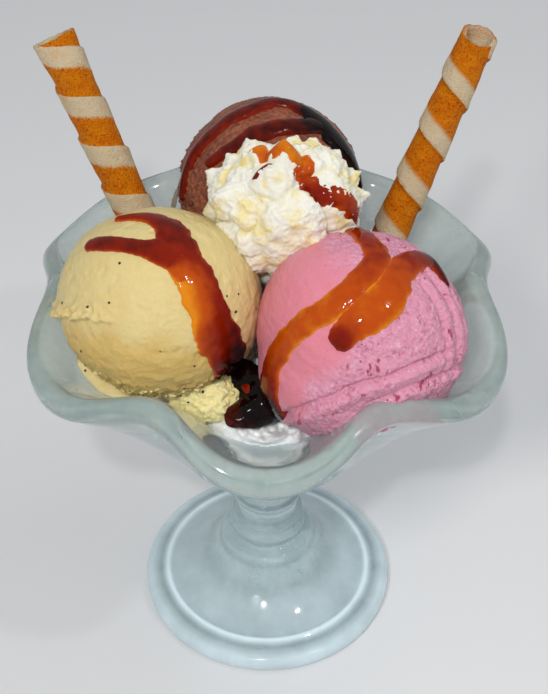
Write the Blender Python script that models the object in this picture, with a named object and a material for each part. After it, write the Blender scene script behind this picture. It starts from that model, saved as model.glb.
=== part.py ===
"""Ice cream sundae in a footed, six-lobed pressed glass.

Metres, +Z up, origin at the centre of the foot's underside.  The glass, the
cream at its bottom, three scoops with a broken-off lump, a mound of whipped
cream and two rolled wafers are separate closed solids.
"""

import math

import bmesh
import bpy
import numpy as np
from mathutils import Matrix, Vector, noise

MM = 0.001
GAP = 0.3 * MM

# Glass
GLASS_STEPS = 48
LOBES = 6
LIP_MEAN_RADIUS = 56.4 * MM
LIP_MEAN_HEIGHT = 108.2 * MM
LOBE_REACH = 3.9 * MM
LOBE_DROP = 3.7 * MM
LOBE_SHARPNESS = -0.6 * MM
LIP_ROUND = 3.4 * MM
FOOT_RADIUS = 36.0 * MM
BOWL_FLOOR = 57.5 * MM

# Contents
CREAM_LEVEL = 92.4 * MM
VANILLA_CENTRE = Vector((-26.1, -10.6, 115.1)) * MM
VANILLA_RADIUS = 25.1 * MM
STRAWBERRY_CENTRE = Vector((22.6, -19.8, 115.1)) * MM
STRAWBERRY_RADIUS = 25.1 * MM
CHOCOLATE_CENTRE = Vector((0.7, 31.0, 119.7)) * MM
CHOCOLATE_RADIUS = 23.9 * MM
MOUND_CENTRE = Vector((3.6, 3.2, 132.4)) * MM
MOUND_HALF_SIZE = Vector((20.0, 15.0, 19.5)) * MM
LUMP_CENTRE = Vector((-13.0, -25.0, 97.6)) * MM
LUMP_HALF_SIZE = Vector((7.4, 5.6, 5.2)) * MM

# Rolled wafers: middle of the top end, direction up the axis, radius, length
LEFT_WAFER_TOP = Vector((-53.4, 41.8, 158.5)) * MM
LEFT_WAFER_AXIS = Vector((-0.388, 0.349, 0.849)).normalized()
LEFT_WAFER_RADIUS = 5.45 * MM
LEFT_WAFER_LENGTH = 70.0 * MM
RIGHT_WAFER_TOP = Vector((52.8, 40.5, 159.8)) * MM
RIGHT_WAFER_AXIS = Vector((0.379, 0.354, 0.855)).normalized()
RIGHT_WAFER_RADIUS = 5.1 * MM
RIGHT_WAFER_LENGTH = 73.0 * MM
WAFER_WALL = 1.6 * MM
WAFER_PITCH = 14.0 * MM
WAFER_LEDGE = 0.35 * MM


def clear_scene():
    """Remove whatever the file opened with."""
    for obj in list(bpy.data.objects):
        bpy.data.objects.remove(obj, do_unlink=True)


def smoothstep(low, high, value):
    """Ease from 0 below low to 1 above high."""
    t = min(1.0, max(0.0, (value - low) / (high - low)))
    return t * t * (3.0 - 2.0 * t)


def material(name, color, roughness, transmission=0.0):
    """Principled material with one colour."""
    mat = bpy.data.materials.new(name)
    mat.use_nodes = True
    shader = mat.node_tree.nodes["Principled BSDF"]
    shader.inputs["Base Color"].default_value = (*color, 1.0)
    shader.inputs["Roughness"].default_value = roughness
    shader.inputs["Metallic"].default_value = 0.0
    shader.inputs["Transmission Weight"].default_value = transmission
    return mat


def object_from_bmesh(name, bm, mat, sharp=40.0):
    """Turn a finished bmesh into a named, smooth-shaded object."""
    bmesh.ops.recalc_face_normals(bm, faces=bm.faces)
    mesh = bpy.data.meshes.new(name)
    bm.to_mesh(mesh)
    bm.free()
    mesh.materials.append(mat)
    mesh.shade_smooth()
    mesh.set_sharp_from_angle(angle=math.radians(sharp))
    obj = bpy.data.objects.new(name, mesh)
    bpy.context.collection.objects.link(obj)
    return obj


def curve_points(controls, count):
    """Even samples of a Catmull-Rom curve through (radius, height) points."""
    pts = [Vector(c) for c in controls]
    pts = [2 * pts[0] - pts[1]] + pts + [2 * pts[-1] - pts[-2]]
    spans = len(pts) - 3
    out = []
    for i in range(count + 1):
        u = spans * i / count
        k = min(int(u), spans - 1)
        t = u - k
        a, b, c, d = pts[k : k + 4]
        out.append(
            0.5
            * (
                2 * b
                + (c - a) * t
                + (2 * a - 5 * b + 4 * c - d) * t * t
                + (3 * b - a - 3 * c + d) * t**3
            )
        )
    return out


def lobe_wave(angle):
    """+1 at the middle of a lobe, -1 at the notch between two lobes."""
    return math.cos(LOBES * (angle + math.pi / 2))


def lip_centre(angle):
    """Radius and height of the middle of the rounded lip."""
    wave = lobe_wave(angle)
    ripple = math.cos(2 * LOBES * (angle + math.pi / 2))
    radius = LIP_MEAN_RADIUS + LOBE_REACH * wave + LOBE_SHARPNESS * ripple
    return Vector((radius, LIP_MEAN_HEIGHT - LOBE_DROP * wave))


def lip_slope(angle):
    """Angle at which the wall runs up into the lip."""
    run = lip_centre(angle) - Vector((37.0 * MM, 88.0 * MM))
    return math.atan2(run.y, run.x)


def inner_profile(angle, count=12):
    """Inside of the bowl from its floor to where the lip's round begins."""
    wave = lobe_wave(angle)
    slope = lip_slope(angle)
    side = Vector((-math.sin(slope), math.cos(slope)))
    top = lip_centre(angle) + side * LIP_ROUND
    shoulder = Vector((40.5 * MM + 1.6 * MM * wave, 98.3 * MM - 2.7 * MM * wave))
    controls = [
        (0.0, BOWL_FLOOR),
        (9.0 * MM, 59.2 * MM),
        (17.0 * MM, 66.5 * MM),
        (24.0 * MM, 78.0 * MM),
        (31.5 * MM, 88.6 * MM),
        shoulder,
        top,
    ]
    return curve_points(controls, count)


def outer_profile(angle, count=9):
    """Outside of the bowl from the lip's round down to the stem."""
    wave = lobe_wave(angle)
    slope = lip_slope(angle)
    side = Vector((math.sin(slope), -math.cos(slope)))
    top = lip_centre(angle) + side * LIP_ROUND
    shoulder = Vector((46.0 * MM + 2.6 * MM * wave, 92.6 * MM - 2.9 * MM * wave))
    controls = [
        top,
        shoulder,
        (37.1 * MM + 1.2 * MM * wave, 79.5 * MM),
        (29.5 * MM, 68.0 * MM),
        (20.5 * MM, 55.5 * MM),
        (11.5 * MM, 46.0 * MM),
        (8.6 * MM, 42.0 * MM),
    ]
    return curve_points(controls, count)


def lip_profile(angle, count=5):
    """Rounded lip, from the inside over the top to the outside."""
    centre = lip_centre(angle)
    slope = lip_slope(angle)
    out = []
    for i in range(1, count):
        turn = slope + math.pi / 2 - math.pi * i / count
        out.append(centre + LIP_ROUND * Vector((math.cos(turn), math.sin(turn))))
    return out


def foot_profile():
    """Stem and foot from under the bowl out to the underside's edge."""
    sizes = [
        (8.6, 39.8),
        (9.7, 38.6),
        (8.7, 37.2),
        (8.6, 32.2),
        (10.1, 30.8),
        (9.2, 28.6),
        (10.8, 26.4),
        (9.6, 23.6),
        (12.6, 22.0),
        (13.4, 20.4),
        (14.0, 17.4),
        (17.5, 12.9),
        (23.0, 8.8),
        (27.6, 6.6),
        (29.2, 6.9),
        (30.6, 6.2),
        (32.6, 5.6),
        (35.0, 4.9),
        (36.0, 3.2),
        (35.7, 1.0),
        (34.6, 0.0),
    ]
    edge = FOOT_RADIUS / (36.0 * MM)
    return [Vector((r * MM * edge, z * MM)) for r, z in sizes]


def build_glass(mat):
    """Footed glass turned as one skin whose profile follows the lobes."""
    bm = bmesh.new()
    rows = []
    for k in range(GLASS_STEPS):
        angle = 2 * math.pi * k / GLASS_STEPS
        profile = inner_profile(angle)[1:] + lip_profile(angle)
        profile += outer_profile(angle) + foot_profile()
        ray = Vector((math.cos(angle), math.sin(angle)))
        rows.append([bm.verts.new((ray.x * p.x, ray.y * p.x, p.y)) for p in profile])
    floor = bm.verts.new((0.0, 0.0, BOWL_FLOOR))
    under = bm.verts.new((0.0, 0.0, 0.0))
    for k in range(GLASS_STEPS):
        a = rows[k]
        b = rows[(k + 1) % GLASS_STEPS]
        bm.faces.new((floor, a[0], b[0]))
        bm.faces.new((under, b[-1], a[-1]))
        for i in range(len(a) - 1):
            bm.faces.new((a[i], a[i + 1], b[i + 1], b[i]))
    return object_from_bmesh("glass", bm, mat, sharp=60.0)


def profile_radius_at(profile, height):
    """Radius at which a rising profile passes a height."""
    for low, high in zip(profile, profile[1:]):
        if low.y <= height <= high.y:
            t = (height - low.y) / max(high.y - low.y, 1e-9)
            return low.x + (high.x - low.x) * t
    return profile[-1].x


def cream_top(x, y):
    """Uneven level of the cream that fills the bottom of the bowl."""
    spot = Vector((x, y, 0.0)) / (7.0 * MM)
    return CREAM_LEVEL + 0.5 * MM * (noise.noise(spot) - 0.6)


def build_base_cream(mat):
    """Cream that fills the bowl up to its level, clear of the wall."""
    bm = bmesh.new()
    clear = 2.5 * GAP
    edge = CREAM_LEVEL - 0.6 * MM
    rows_below = 8
    rings = [[] for _ in range(rows_below + 1)]
    for k in range(GLASS_STEPS):
        angle = 2 * math.pi * k / GLASS_STEPS
        ray = Vector((math.cos(angle), math.sin(angle)))
        profile = inner_profile(angle)
        shell = [p for p in profile[1:] if p.y < edge - clear][:rows_below]
        shell += [Vector((profile_radius_at(profile, edge), edge))] * (rows_below + 1 - len(shell))
        for ring, p in zip(rings, shell):
            radius = p.x - clear
            height = min(p.y + clear, edge)
            ring.append(bm.verts.new((radius * ray.x, radius * ray.y, height)))
    for share in (0.8, 0.4):
        ring = []
        for v in rings[rows_below]:
            x, y = v.co.x * share, v.co.y * share
            ring.append(bm.verts.new((x, y, cream_top(x, y))))
        rings.append(ring)
    for low, high in zip(rings, rings[1:]):
        for k in range(GLASS_STEPS):
            n = (k + 1) % GLASS_STEPS
            bm.faces.new((low[k], low[n], high[n], high[k]))
    for ring, height in ((rings[0], rings[0][0].co.z), (rings[-1], cream_top(0.0, 0.0))):
        pole = bm.verts.new((0.0, 0.0, height))
        for k in range(GLASS_STEPS):
            bm.faces.new((pole, ring[k], ring[(k + 1) % GLASS_STEPS]))
    return object_from_bmesh("base_cream", bm, mat)


def vanilla_form(u):
    """Vanilla scoop: smooth dome, ragged ledge on its left, narrower below."""
    left = smoothstep(0.1, 0.9, -u.x) * smoothstep(0.95, 0.1, u.y)
    ledge = smoothstep(-0.02, 0.06, -u.z) * smoothstep(0.45, 0.1, -u.z)
    crown = smoothstep(0.6, 1.0, 0.67 * u.y + 0.74 * u.z)
    return 1.0 + 0.035 * left * ledge - 0.05 * crown - 0.13 * smoothstep(0.05, 0.8, -u.z)


def strawberry_form(u):
    """Strawberry scoop: flattened crown, folds down its right, spread foot in front."""
    right = smoothstep(-0.2, 0.6, u.x) * smoothstep(0.55, -0.2, u.z)
    folds = math.sin(9.0 * (u.z + 0.35 * u.x) + 1.4 * u.y)
    skirt = smoothstep(0.0, 0.45, -u.z) * smoothstep(0.4, 0.95, u.x)
    crown = smoothstep(0.3, 1.0, 0.42 * u.x + 0.55 * u.y + 0.72 * u.z)
    foot = smoothstep(0.55, 0.95, -0.44 * u.x - 0.60 * u.y - 0.67 * u.z)
    taper = smoothstep(0.1, 0.9, -u.z)
    return 1.0 + 0.012 * right * folds + 0.02 * skirt + 0.12 * foot - 0.06 * crown - 0.03 * taper


def chocolate_form(u):
    """Chocolate scoop: dome with two shallow grooves along the scoop's sweep."""
    sweep = math.sin(11.0 * (u.z + 0.25 * u.x))
    return 1.0 + 0.008 * sweep * smoothstep(-0.3, 0.3, u.z)


def wall_limit(centre, u, reach):
    """Shorten a reach from centre along u until it clears the bowl's inside."""
    while reach > 0.0:
        p = centre + u * reach
        angle = math.atan2(p.y, p.x)
        profile = inner_profile(angle, 28)
        if p.z > profile[-1].y:
            top = lip_centre(angle)
            away = (Vector((math.hypot(p.x, p.y), p.z)) - top).length
            if away > LIP_ROUND + 0.6 * MM or p.z > top.y + LIP_ROUND + 0.6 * MM:
                return reach
        elif math.hypot(p.x, p.y) < profile_radius_at(profile, p.z) - 0.9 * MM:
            return reach
        reach -= 0.25 * MM
    return reach


def build_scoop(name, centre, radius, form, mat, neighbours, around=24, up=14):
    """Scoop as a formed ball, flat where it meets neighbours and the cream."""
    bm = bmesh.new()
    bmesh.ops.create_uvsphere(bm, u_segments=around, v_segments=up, radius=1.0)
    seat = CREAM_LEVEL + GAP
    for v in bm.verts:
        u = v.co.normalized()
        rough = noise.noise(u * 4.0 + centre * 300.0) * 0.008
        reach = radius * (form(u) + rough)
        for other, other_radius in neighbours:
            between = other - centre
            span = between.length
            facing = between.normalized()
            along = (span * span + radius**2 - other_radius**2) / (2 * span) - GAP / 2
            toward = u.dot(facing)
            if toward > 1e-6:
                reach = min(reach, along / toward)
        if u.z < -1e-6:
            reach = min(reach, (seat - centre.z) / u.z)
        v.co = centre + u * wall_limit(centre, u, reach)
    return object_from_bmesh(name, bm, mat)


def ball_cutter(name, centre, radius, form):
    """Slightly swollen copy of a scoop that leaves the fitting gap."""
    bm = bmesh.new()
    bmesh.ops.create_uvsphere(bm, u_segments=26, v_segments=15, radius=1.0)
    for v in bm.verts:
        u = v.co.normalized()
        v.co = centre + u * (radius * (form(u) + 0.01) + 2.0 * GAP)
    cutter = object_from_bmesh(name, bm, material(name, (0.5, 0.5, 0.5), 0.5))
    cutter.hide_render = True
    cutter.display_type = "WIRE"
    return cutter


def cut(obj, cutters):
    """Subtract cutters and keep only the largest shell of what is left."""
    for cutter in cutters:
        step = obj.modifiers.new(cutter.name, "BOOLEAN")
        step.operation = "DIFFERENCE"
        step.solver = "EXACT"
        step.object = cutter
    depsgraph = bpy.context.evaluated_depsgraph_get()
    mesh = bpy.data.meshes.new_from_object(obj.evaluated_get(depsgraph))
    obj.modifiers.clear()
    bm = bmesh.new()
    bm.from_mesh(mesh)
    bmesh.ops.remove_doubles(bm, verts=bm.verts, dist=0.02 * MM)
    bmesh.ops.dissolve_degenerate(bm, edges=bm.edges, dist=0.01 * MM)
    left = set(bm.faces)
    shells = []
    while left:
        stack = [left.pop()]
        shell = []
        while stack:
            face = stack.pop()
            shell.append(face)
            for edge in face.edges:
                for near in edge.link_faces:
                    if near in left:
                        left.remove(near)
                        stack.append(near)
        shells.append(shell)
    shells.sort(key=len)
    for shell in shells[:-1]:
        bmesh.ops.delete(bm, geom=shell, context="FACES")
    loose = [v for v in bm.verts if not v.link_faces]
    bmesh.ops.delete(bm, geom=loose, context="VERTS")
    bmesh.ops.triangulate(bm, faces=bm.faces)
    bm.to_mesh(obj.data)
    bm.free()


def build_mound(mat):
    """Whipped cream spooned into the hollow between the scoops."""
    bm = bmesh.new()
    bmesh.ops.create_uvsphere(bm, u_segments=24, v_segments=15, radius=1.0)
    size = MOUND_HALF_SIZE
    for v in bm.verts:
        u = v.co.normalized()
        swell = 1.0 + 0.16 * noise.noise(u * 2.6 + Vector((3.1, 0.4, 7.7)))
        swell += 0.07 * noise.noise(u * 6.5)
        v.co = MOUND_CENTRE + Vector((u.x * size.x, u.y * size.y, u.z * size.z)) * swell
    return object_from_bmesh("whipped_cream", bm, mat)


def build_lump(mat):
    """Broken-off lump of vanilla at the foot of its scoop."""
    bm = bmesh.new()
    bmesh.ops.create_icosphere(bm, subdivisions=3, radius=1.0)
    size = LUMP_HALF_SIZE
    seat = CREAM_LEVEL + GAP
    for v in bm.verts:
        u = v.co.normalized()
        swell = 1.0 + 0.22 * noise.noise(u * 2.3 + Vector((1.0, 5.0, 2.0)))
        p = LUMP_CENTRE + Vector((u.x * size.x, u.y * size.y, u.z * size.z)) * swell
        p.z = max(p.z, seat)
        v.co = p
    return object_from_bmesh("vanilla_lump", bm, mat)


def build_wafer(name, top, axis, radius, length, hand, mat, around=14):
    """Rolled wafer: an open tube whose outside steps along its wrapping."""
    bm = bmesh.new()
    rows = 14
    turn = axis.to_track_quat("Z", "Y").to_matrix().to_4x4()
    place = Matrix.Translation(top) @ turn
    outer = []
    inner = []
    for i in range(rows + 1):
        drop = -length * i / rows
        ring = []
        bore = []
        for k in range(around):
            angle = 2 * math.pi * k / around
            phase = (drop / WAFER_PITCH + hand * angle / (2 * math.pi)) % 1.0
            step = radius - WAFER_LEDGE * (1.0 - phase) * smoothstep(0.0, 0.12, phase)
            wave = 0.15 * MM * noise.noise(Vector((angle, drop * 150.0, hand)))
            ray = Vector((math.cos(angle), math.sin(angle), 0.0))
            rim = 0.5 * MM * noise.noise(ray * 2.0 + Vector((hand, 0, 4))) if i == 0 else 0.0
            ring.append(bm.verts.new(place @ (ray * (step + wave) + Vector((0, 0, drop + rim)))))
            bore.append(bm.verts.new(place @ (ray * (radius - WAFER_WALL) + Vector((0, 0, drop + rim)))))
        outer.append(ring)
        inner.append(bore)
    for k in range(around):
        n = (k + 1) % around
        for i in range(rows):
            bm.faces.new((outer[i][k], outer[i + 1][k], outer[i + 1][n], outer[i][n]))
            bm.faces.new((inner[i][k], inner[i][n], inner[i + 1][n], inner[i + 1][k]))
        bm.faces.new((outer[0][k], outer[0][n], inner[0][n], inner[0][k]))
        bm.faces.new((outer[-1][k], inner[-1][k], inner[-1][n], outer[-1][n]))
    return object_from_bmesh(name, bm, mat, sharp=50.0)


def build_sundae():
    """Build every piece of the sundae."""
    vanilla = (VANILLA_CENTRE, VANILLA_RADIUS)
    strawberry = (STRAWBERRY_CENTRE, STRAWBERRY_RADIUS)
    chocolate = (CHOCOLATE_CENTRE, CHOCOLATE_RADIUS)
    yellow = material("vanilla", (0.84, 0.66, 0.34), 0.55)
    build_glass(material("glass", (0.72, 0.80, 0.79), 0.05, 0.9))
    build_base_cream(material("base_cream", (0.88, 0.86, 0.80), 0.5))
    build_scoop("vanilla_scoop", *vanilla, vanilla_form, yellow, [strawberry, chocolate])
    build_scoop(
        "strawberry_scoop",
        *strawberry,
        strawberry_form,
        material("strawberry", (0.78, 0.32, 0.42), 0.55),
        [vanilla, chocolate],
    )
    build_scoop(
        "chocolate_scoop",
        *chocolate,
        chocolate_form,
        material("chocolate", (0.17, 0.07, 0.045), 0.5),
        [vanilla, strawberry],
    )
    cutters = [
        ball_cutter("vanilla_cutter", *vanilla, vanilla_form),
        ball_cutter("strawberry_cutter", *strawberry, strawberry_form),
        ball_cutter("chocolate_cutter", *chocolate, chocolate_form),
    ]
    cut(build_mound(material("whipped_cream", (0.88, 0.84, 0.70), 0.45)), cutters)
    cut(build_lump(material("vanilla_lump", (0.84, 0.68, 0.38), 0.65)), cutters[:2])
    build_wafer(
        "wafer_left",
        LEFT_WAFER_TOP,
        LEFT_WAFER_AXIS,
        LEFT_WAFER_RADIUS,
        LEFT_WAFER_LENGTH,
        -1,
        material("wafer_left", (0.55, 0.25, 0.06), 0.6),
    )
    build_wafer(
        "wafer_right",
        RIGHT_WAFER_TOP,
        RIGHT_WAFER_AXIS,
        RIGHT_WAFER_RADIUS,
        RIGHT_WAFER_LENGTH,
        -1,
        material("wafer_right", (0.55, 0.25, 0.06), 0.6),
    )


clear_scene()
build_sundae()
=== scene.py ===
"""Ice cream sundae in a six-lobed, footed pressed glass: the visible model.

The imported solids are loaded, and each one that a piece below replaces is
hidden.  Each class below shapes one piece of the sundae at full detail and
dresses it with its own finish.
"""

import logging
import math
from dataclasses import dataclass, field
from enum import Enum
from typing import Any, Sequence

import bpy
import numpy as np
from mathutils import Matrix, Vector, noise

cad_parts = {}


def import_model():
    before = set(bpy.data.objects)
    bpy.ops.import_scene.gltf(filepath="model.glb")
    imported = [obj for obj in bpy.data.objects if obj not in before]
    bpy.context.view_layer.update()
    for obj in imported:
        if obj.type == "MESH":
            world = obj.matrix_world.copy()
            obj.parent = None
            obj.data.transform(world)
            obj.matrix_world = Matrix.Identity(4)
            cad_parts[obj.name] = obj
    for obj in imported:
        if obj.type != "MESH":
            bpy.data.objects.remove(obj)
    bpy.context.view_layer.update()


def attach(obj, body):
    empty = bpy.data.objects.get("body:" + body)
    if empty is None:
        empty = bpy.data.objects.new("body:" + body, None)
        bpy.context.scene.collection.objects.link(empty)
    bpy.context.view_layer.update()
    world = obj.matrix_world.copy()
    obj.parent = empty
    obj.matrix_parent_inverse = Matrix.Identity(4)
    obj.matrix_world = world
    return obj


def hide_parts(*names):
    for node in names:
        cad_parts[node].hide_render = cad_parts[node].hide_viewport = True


MM = 0.001
LOG = logging.getLogger("sundae")
GOLDEN_ANGLE = 2.39996
SPREAD_FACTORS = (0.6180339, 0.7548777, 0.5698403)


# ---------------------------------------------------------------- numbers


def ease(low: float, high: float, value: Any) -> Any:
    """Ease from 0 at low to 1 at high.

    Args:
        low: Value that gives 0.
        high: Value that gives 1.
        value: Number or array to ease.

    Returns:
        The eased number or array.
    """
    t = np.clip((value - low) / (high - low), 0.0, 1.0)
    return t * t * (3.0 - 2.0 * t)


def cloud(points: np.ndarray, size: float, seed: float = 0.0, octaves: int = 1) -> np.ndarray:
    """Smooth noise of about -1 to 1.

    Args:
        points: Places in millimetres, one row each.
        size: Width of a lump in millimetres.
        seed: Shift that picks another pattern.
        octaves: Layers of ever finer lumps.

    Returns:
        One value for each place.
    """
    shift = Vector((seed * 7.1, seed * 3.7, -seed * 5.3))
    if octaves > 1:
        return np.array([noise.fractal(Vector(p) / size + shift, 0.7, 2.1, octaves) for p in points])
    return np.array([noise.noise(Vector(p) / size + shift) for p in points])


def curds(points: np.ndarray, size: float, seed: float = 0.0) -> np.ndarray:
    """Depth of the cracks between curds: 0 in a crack, about 1 mid curd.

    Args:
        points: Places in millimetres, one row each.
        size: Width of a curd in millimetres.
        seed: Shift that picks another pattern.

    Returns:
        One value for each place.
    """
    shift = Vector((seed, -seed * 2.3, seed * 1.9))
    out = []
    for p in points:
        near = noise.voronoi(Vector(p) / size + shift)[0]
        out.append(near[1] - near[0])
    return np.clip(np.array(out) * 1.6, 0.0, 1.0)


def heading(turn: float, rise: float) -> Vector:
    """Unit vector from a compass turn and a rise.

    Args:
        turn: Degrees round from +X towards +Y.
        rise: Degrees above the horizon.

    Returns:
        The unit vector.
    """
    a, e = math.radians(turn), math.radians(rise)
    return Vector((math.cos(a) * math.cos(e), math.sin(a) * math.cos(e), math.sin(e)))


def bend(controls: Sequence[Vector], count: int) -> list[Vector]:
    """Even samples of a smooth curve through control points.

    Args:
        controls: Points that the curve passes through.
        count: Number of steps.

    Returns:
        count + 1 points.
    """
    pts = [Vector(c) for c in controls]
    pts = [2 * pts[0] - pts[1]] + pts + [2 * pts[-1] - pts[-2]]
    spans = len(pts) - 3
    out = []
    for i in range(count + 1):
        u = spans * i / count
        k = min(int(u), spans - 1)
        t = u - k
        a, b, c, d = pts[k : k + 4]
        out.append(
            0.5
            * (
                2 * b
                + (c - a) * t
                + (2 * a - 5 * b + 4 * c - d) * t * t
                + (3 * b - a - 3 * c + d) * t**3
            )
        )
    return out


# ------------------------------------------------------------- hand tools


class Bench:
    """Mesh tools shared by all pieces."""

    @staticmethod
    def deselect() -> None:
        """Leave edit mode and deselect everything."""
        if bpy.context.object and bpy.context.object.mode != "OBJECT":
            bpy.ops.object.mode_set(mode="OBJECT")
        bpy.ops.object.select_all(action="DESELECT")

    @staticmethod
    def pick(obj: bpy.types.Object) -> None:
        """Make obj the only selected, active object."""
        Bench.deselect()
        obj.select_set(True)
        bpy.context.view_layer.objects.active = obj

    @staticmethod
    def named(name: str) -> bpy.types.Object:
        """Name the object just added, and its mesh."""
        obj = bpy.context.object
        obj.name = name
        obj.data.name = name
        return obj

    @staticmethod
    def ball(name: str, around: int, up: int) -> bpy.types.Object:
        """Unit globe with poles on Z.

        Args:
            name: Object name.
            around: Number of meridians.
            up: Number of steps from pole to pole.

        Returns:
            The new object.
        """
        Bench.deselect()
        bpy.ops.mesh.primitive_uv_sphere_add(segments=around, ring_count=up, radius=1.0)
        return Bench.named(name)

    @staticmethod
    def fine_ball(name: str, splits: int) -> bpy.types.Object:
        """Unit ball of even triangles.

        Args:
            name: Object name.
            splits: Number of subdivisions.

        Returns:
            The new object.
        """
        Bench.deselect()
        bpy.ops.mesh.primitive_ico_sphere_add(subdivisions=splits, radius=1.0)
        return Bench.named(name)

    @staticmethod
    def points(obj: bpy.types.Object) -> np.ndarray:
        """Vertex places, one row each."""
        flat = np.empty(len(obj.data.vertices) * 3)
        obj.data.vertices.foreach_get("co", flat)
        return flat.reshape(-1, 3)

    @staticmethod
    def move(obj: bpy.types.Object, places: np.ndarray) -> None:
        """Put every vertex at its new place."""
        obj.data.vertices.foreach_set("co", places.astype(np.float32).ravel())
        obj.data.update()

    @staticmethod
    def smooth(obj: bpy.types.Object) -> None:
        """Shade obj smooth."""
        Bench.pick(obj)
        bpy.ops.object.shade_smooth()

    @staticmethod
    def store(obj: bpy.types.Object, name: str, values: np.ndarray) -> None:
        """Keep one value for each vertex as a named attribute."""
        layer = obj.data.attributes.new(name, "FLOAT", "POINT")
        layer.data.foreach_set("value", np.asarray(values, dtype=np.float32))

    @staticmethod
    def keep_faces(obj: bpy.types.Object, wanted: np.ndarray) -> None:
        """Delete each face that has no wanted vertex.

        Args:
            obj: Object to trim.
            wanted: True for each vertex to keep around.
        """
        Bench.pick(obj)
        mesh = obj.data
        drop = [not any(wanted[v] for v in face.vertices) for face in mesh.polygons]
        bpy.ops.object.mode_set(mode="EDIT")
        bpy.ops.mesh.select_mode(type="FACE")
        bpy.ops.mesh.select_all(action="DESELECT")
        bpy.ops.object.mode_set(mode="OBJECT")
        mesh.polygons.foreach_set("select", drop)
        bpy.ops.object.mode_set(mode="EDIT")
        bpy.ops.mesh.delete(type="FACE")
        bpy.ops.object.mode_set(mode="OBJECT")

    @staticmethod
    def subdivide(obj: bpy.types.Object) -> None:
        """Split every face once."""
        Bench.pick(obj)
        bpy.ops.object.mode_set(mode="EDIT")
        bpy.ops.mesh.select_all(action="SELECT")
        bpy.ops.mesh.subdivide(number_cuts=1)
        bpy.ops.object.mode_set(mode="OBJECT")

    @staticmethod
    def thicken(obj: bpy.types.Object, depth: float) -> None:
        """Close a skin with a wall that grows inwards.

        Args:
            obj: Open skin.
            depth: Wall thickness in metres.
        """
        Bench.pick(obj)
        wall = obj.modifiers.new("wall", "SOLIDIFY")
        wall.thickness = depth
        wall.offset = -1.0
        bpy.ops.object.modifier_apply(modifier=wall.name)

    @staticmethod
    def copy(obj: bpy.types.Object, name: str) -> bpy.types.Object:
        """Copy obj with its own mesh."""
        twin = obj.copy()
        twin.data = obj.data.copy()
        twin.name = name
        twin.data.name = name
        bpy.context.collection.objects.link(twin)
        return twin

    @staticmethod
    def join(pieces: Sequence[bpy.types.Object], name: str) -> bpy.types.Object:
        """Join pieces into one object.

        Args:
            pieces: Objects to join.
            name: Name of the result.

        Returns:
            The joined object.
        """
        Bench.pick(pieces[0])
        for piece in pieces:
            piece.select_set(True)
        bpy.ops.object.join()
        return Bench.named(name)


# ---------------------------------------------------------------- shaders


class Wire:
    """Shader socket that does sums as a Python value does."""

    def __init__(self, shop: "Palette", socket: bpy.types.NodeSocket) -> None:
        """Hold a socket and the palette that it belongs to."""
        self.shop = shop
        self.socket = socket

    def _sum(self, kind: str, first: Any, second: Any) -> "Wire":
        """Add one Math node.

        Args:
            kind: Operation of the node.
            first: First value or wire.
            second: Second value or wire.

        Returns:
            The node's result.
        """
        return self.shop.add("ShaderNodeMath", {"operation": kind}, {0: first, 1: second})

    def __add__(self, other: Any) -> "Wire":
        """self + other."""
        return self._sum("ADD", self, other)

    def __radd__(self, other: Any) -> "Wire":
        """other + self."""
        return self._sum("ADD", other, self)

    def __sub__(self, other: Any) -> "Wire":
        """self - other."""
        return self._sum("SUBTRACT", self, other)

    def __rsub__(self, other: Any) -> "Wire":
        """other - self."""
        return self._sum("SUBTRACT", other, self)

    def __mul__(self, other: Any) -> "Wire":
        """self * other."""
        return self._sum("MULTIPLY", self, other)

    def __rmul__(self, other: Any) -> "Wire":
        """other * self."""
        return self._sum("MULTIPLY", other, self)

    def __truediv__(self, other: Any) -> "Wire":
        """self / other."""
        return self._sum("DIVIDE", self, other)

    def __abs__(self) -> "Wire":
        """Size of self without its sign."""
        return self._sum("ABSOLUTE", self, 0.0)

    def arc(self, other: Any) -> "Wire":
        """Angle whose sine and cosine go as other and self."""
        return self._sum("ARCTAN2", other, self)

    def least(self, other: Any) -> "Wire":
        """Smaller of self and other."""
        return self._sum("MINIMUM", self, other)

    def band(self, low: float, high: float) -> "Wire":
        """Ease self to 0..1 between low and high.

        Args:
            low: Value that becomes 0.
            high: Value that becomes 1; below low the ease is reversed.

        Returns:
            The eased value.
        """
        flip = low > high
        lo, hi = (high, low) if flip else (low, high)
        eased = self.shop.add(
            "ShaderNodeMapRange",
            {"interpolation_type": "SMOOTHSTEP"},
            {"Value": self, "From Min": lo, "From Max": hi},
        )
        return 1.0 - eased if flip else eased


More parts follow.
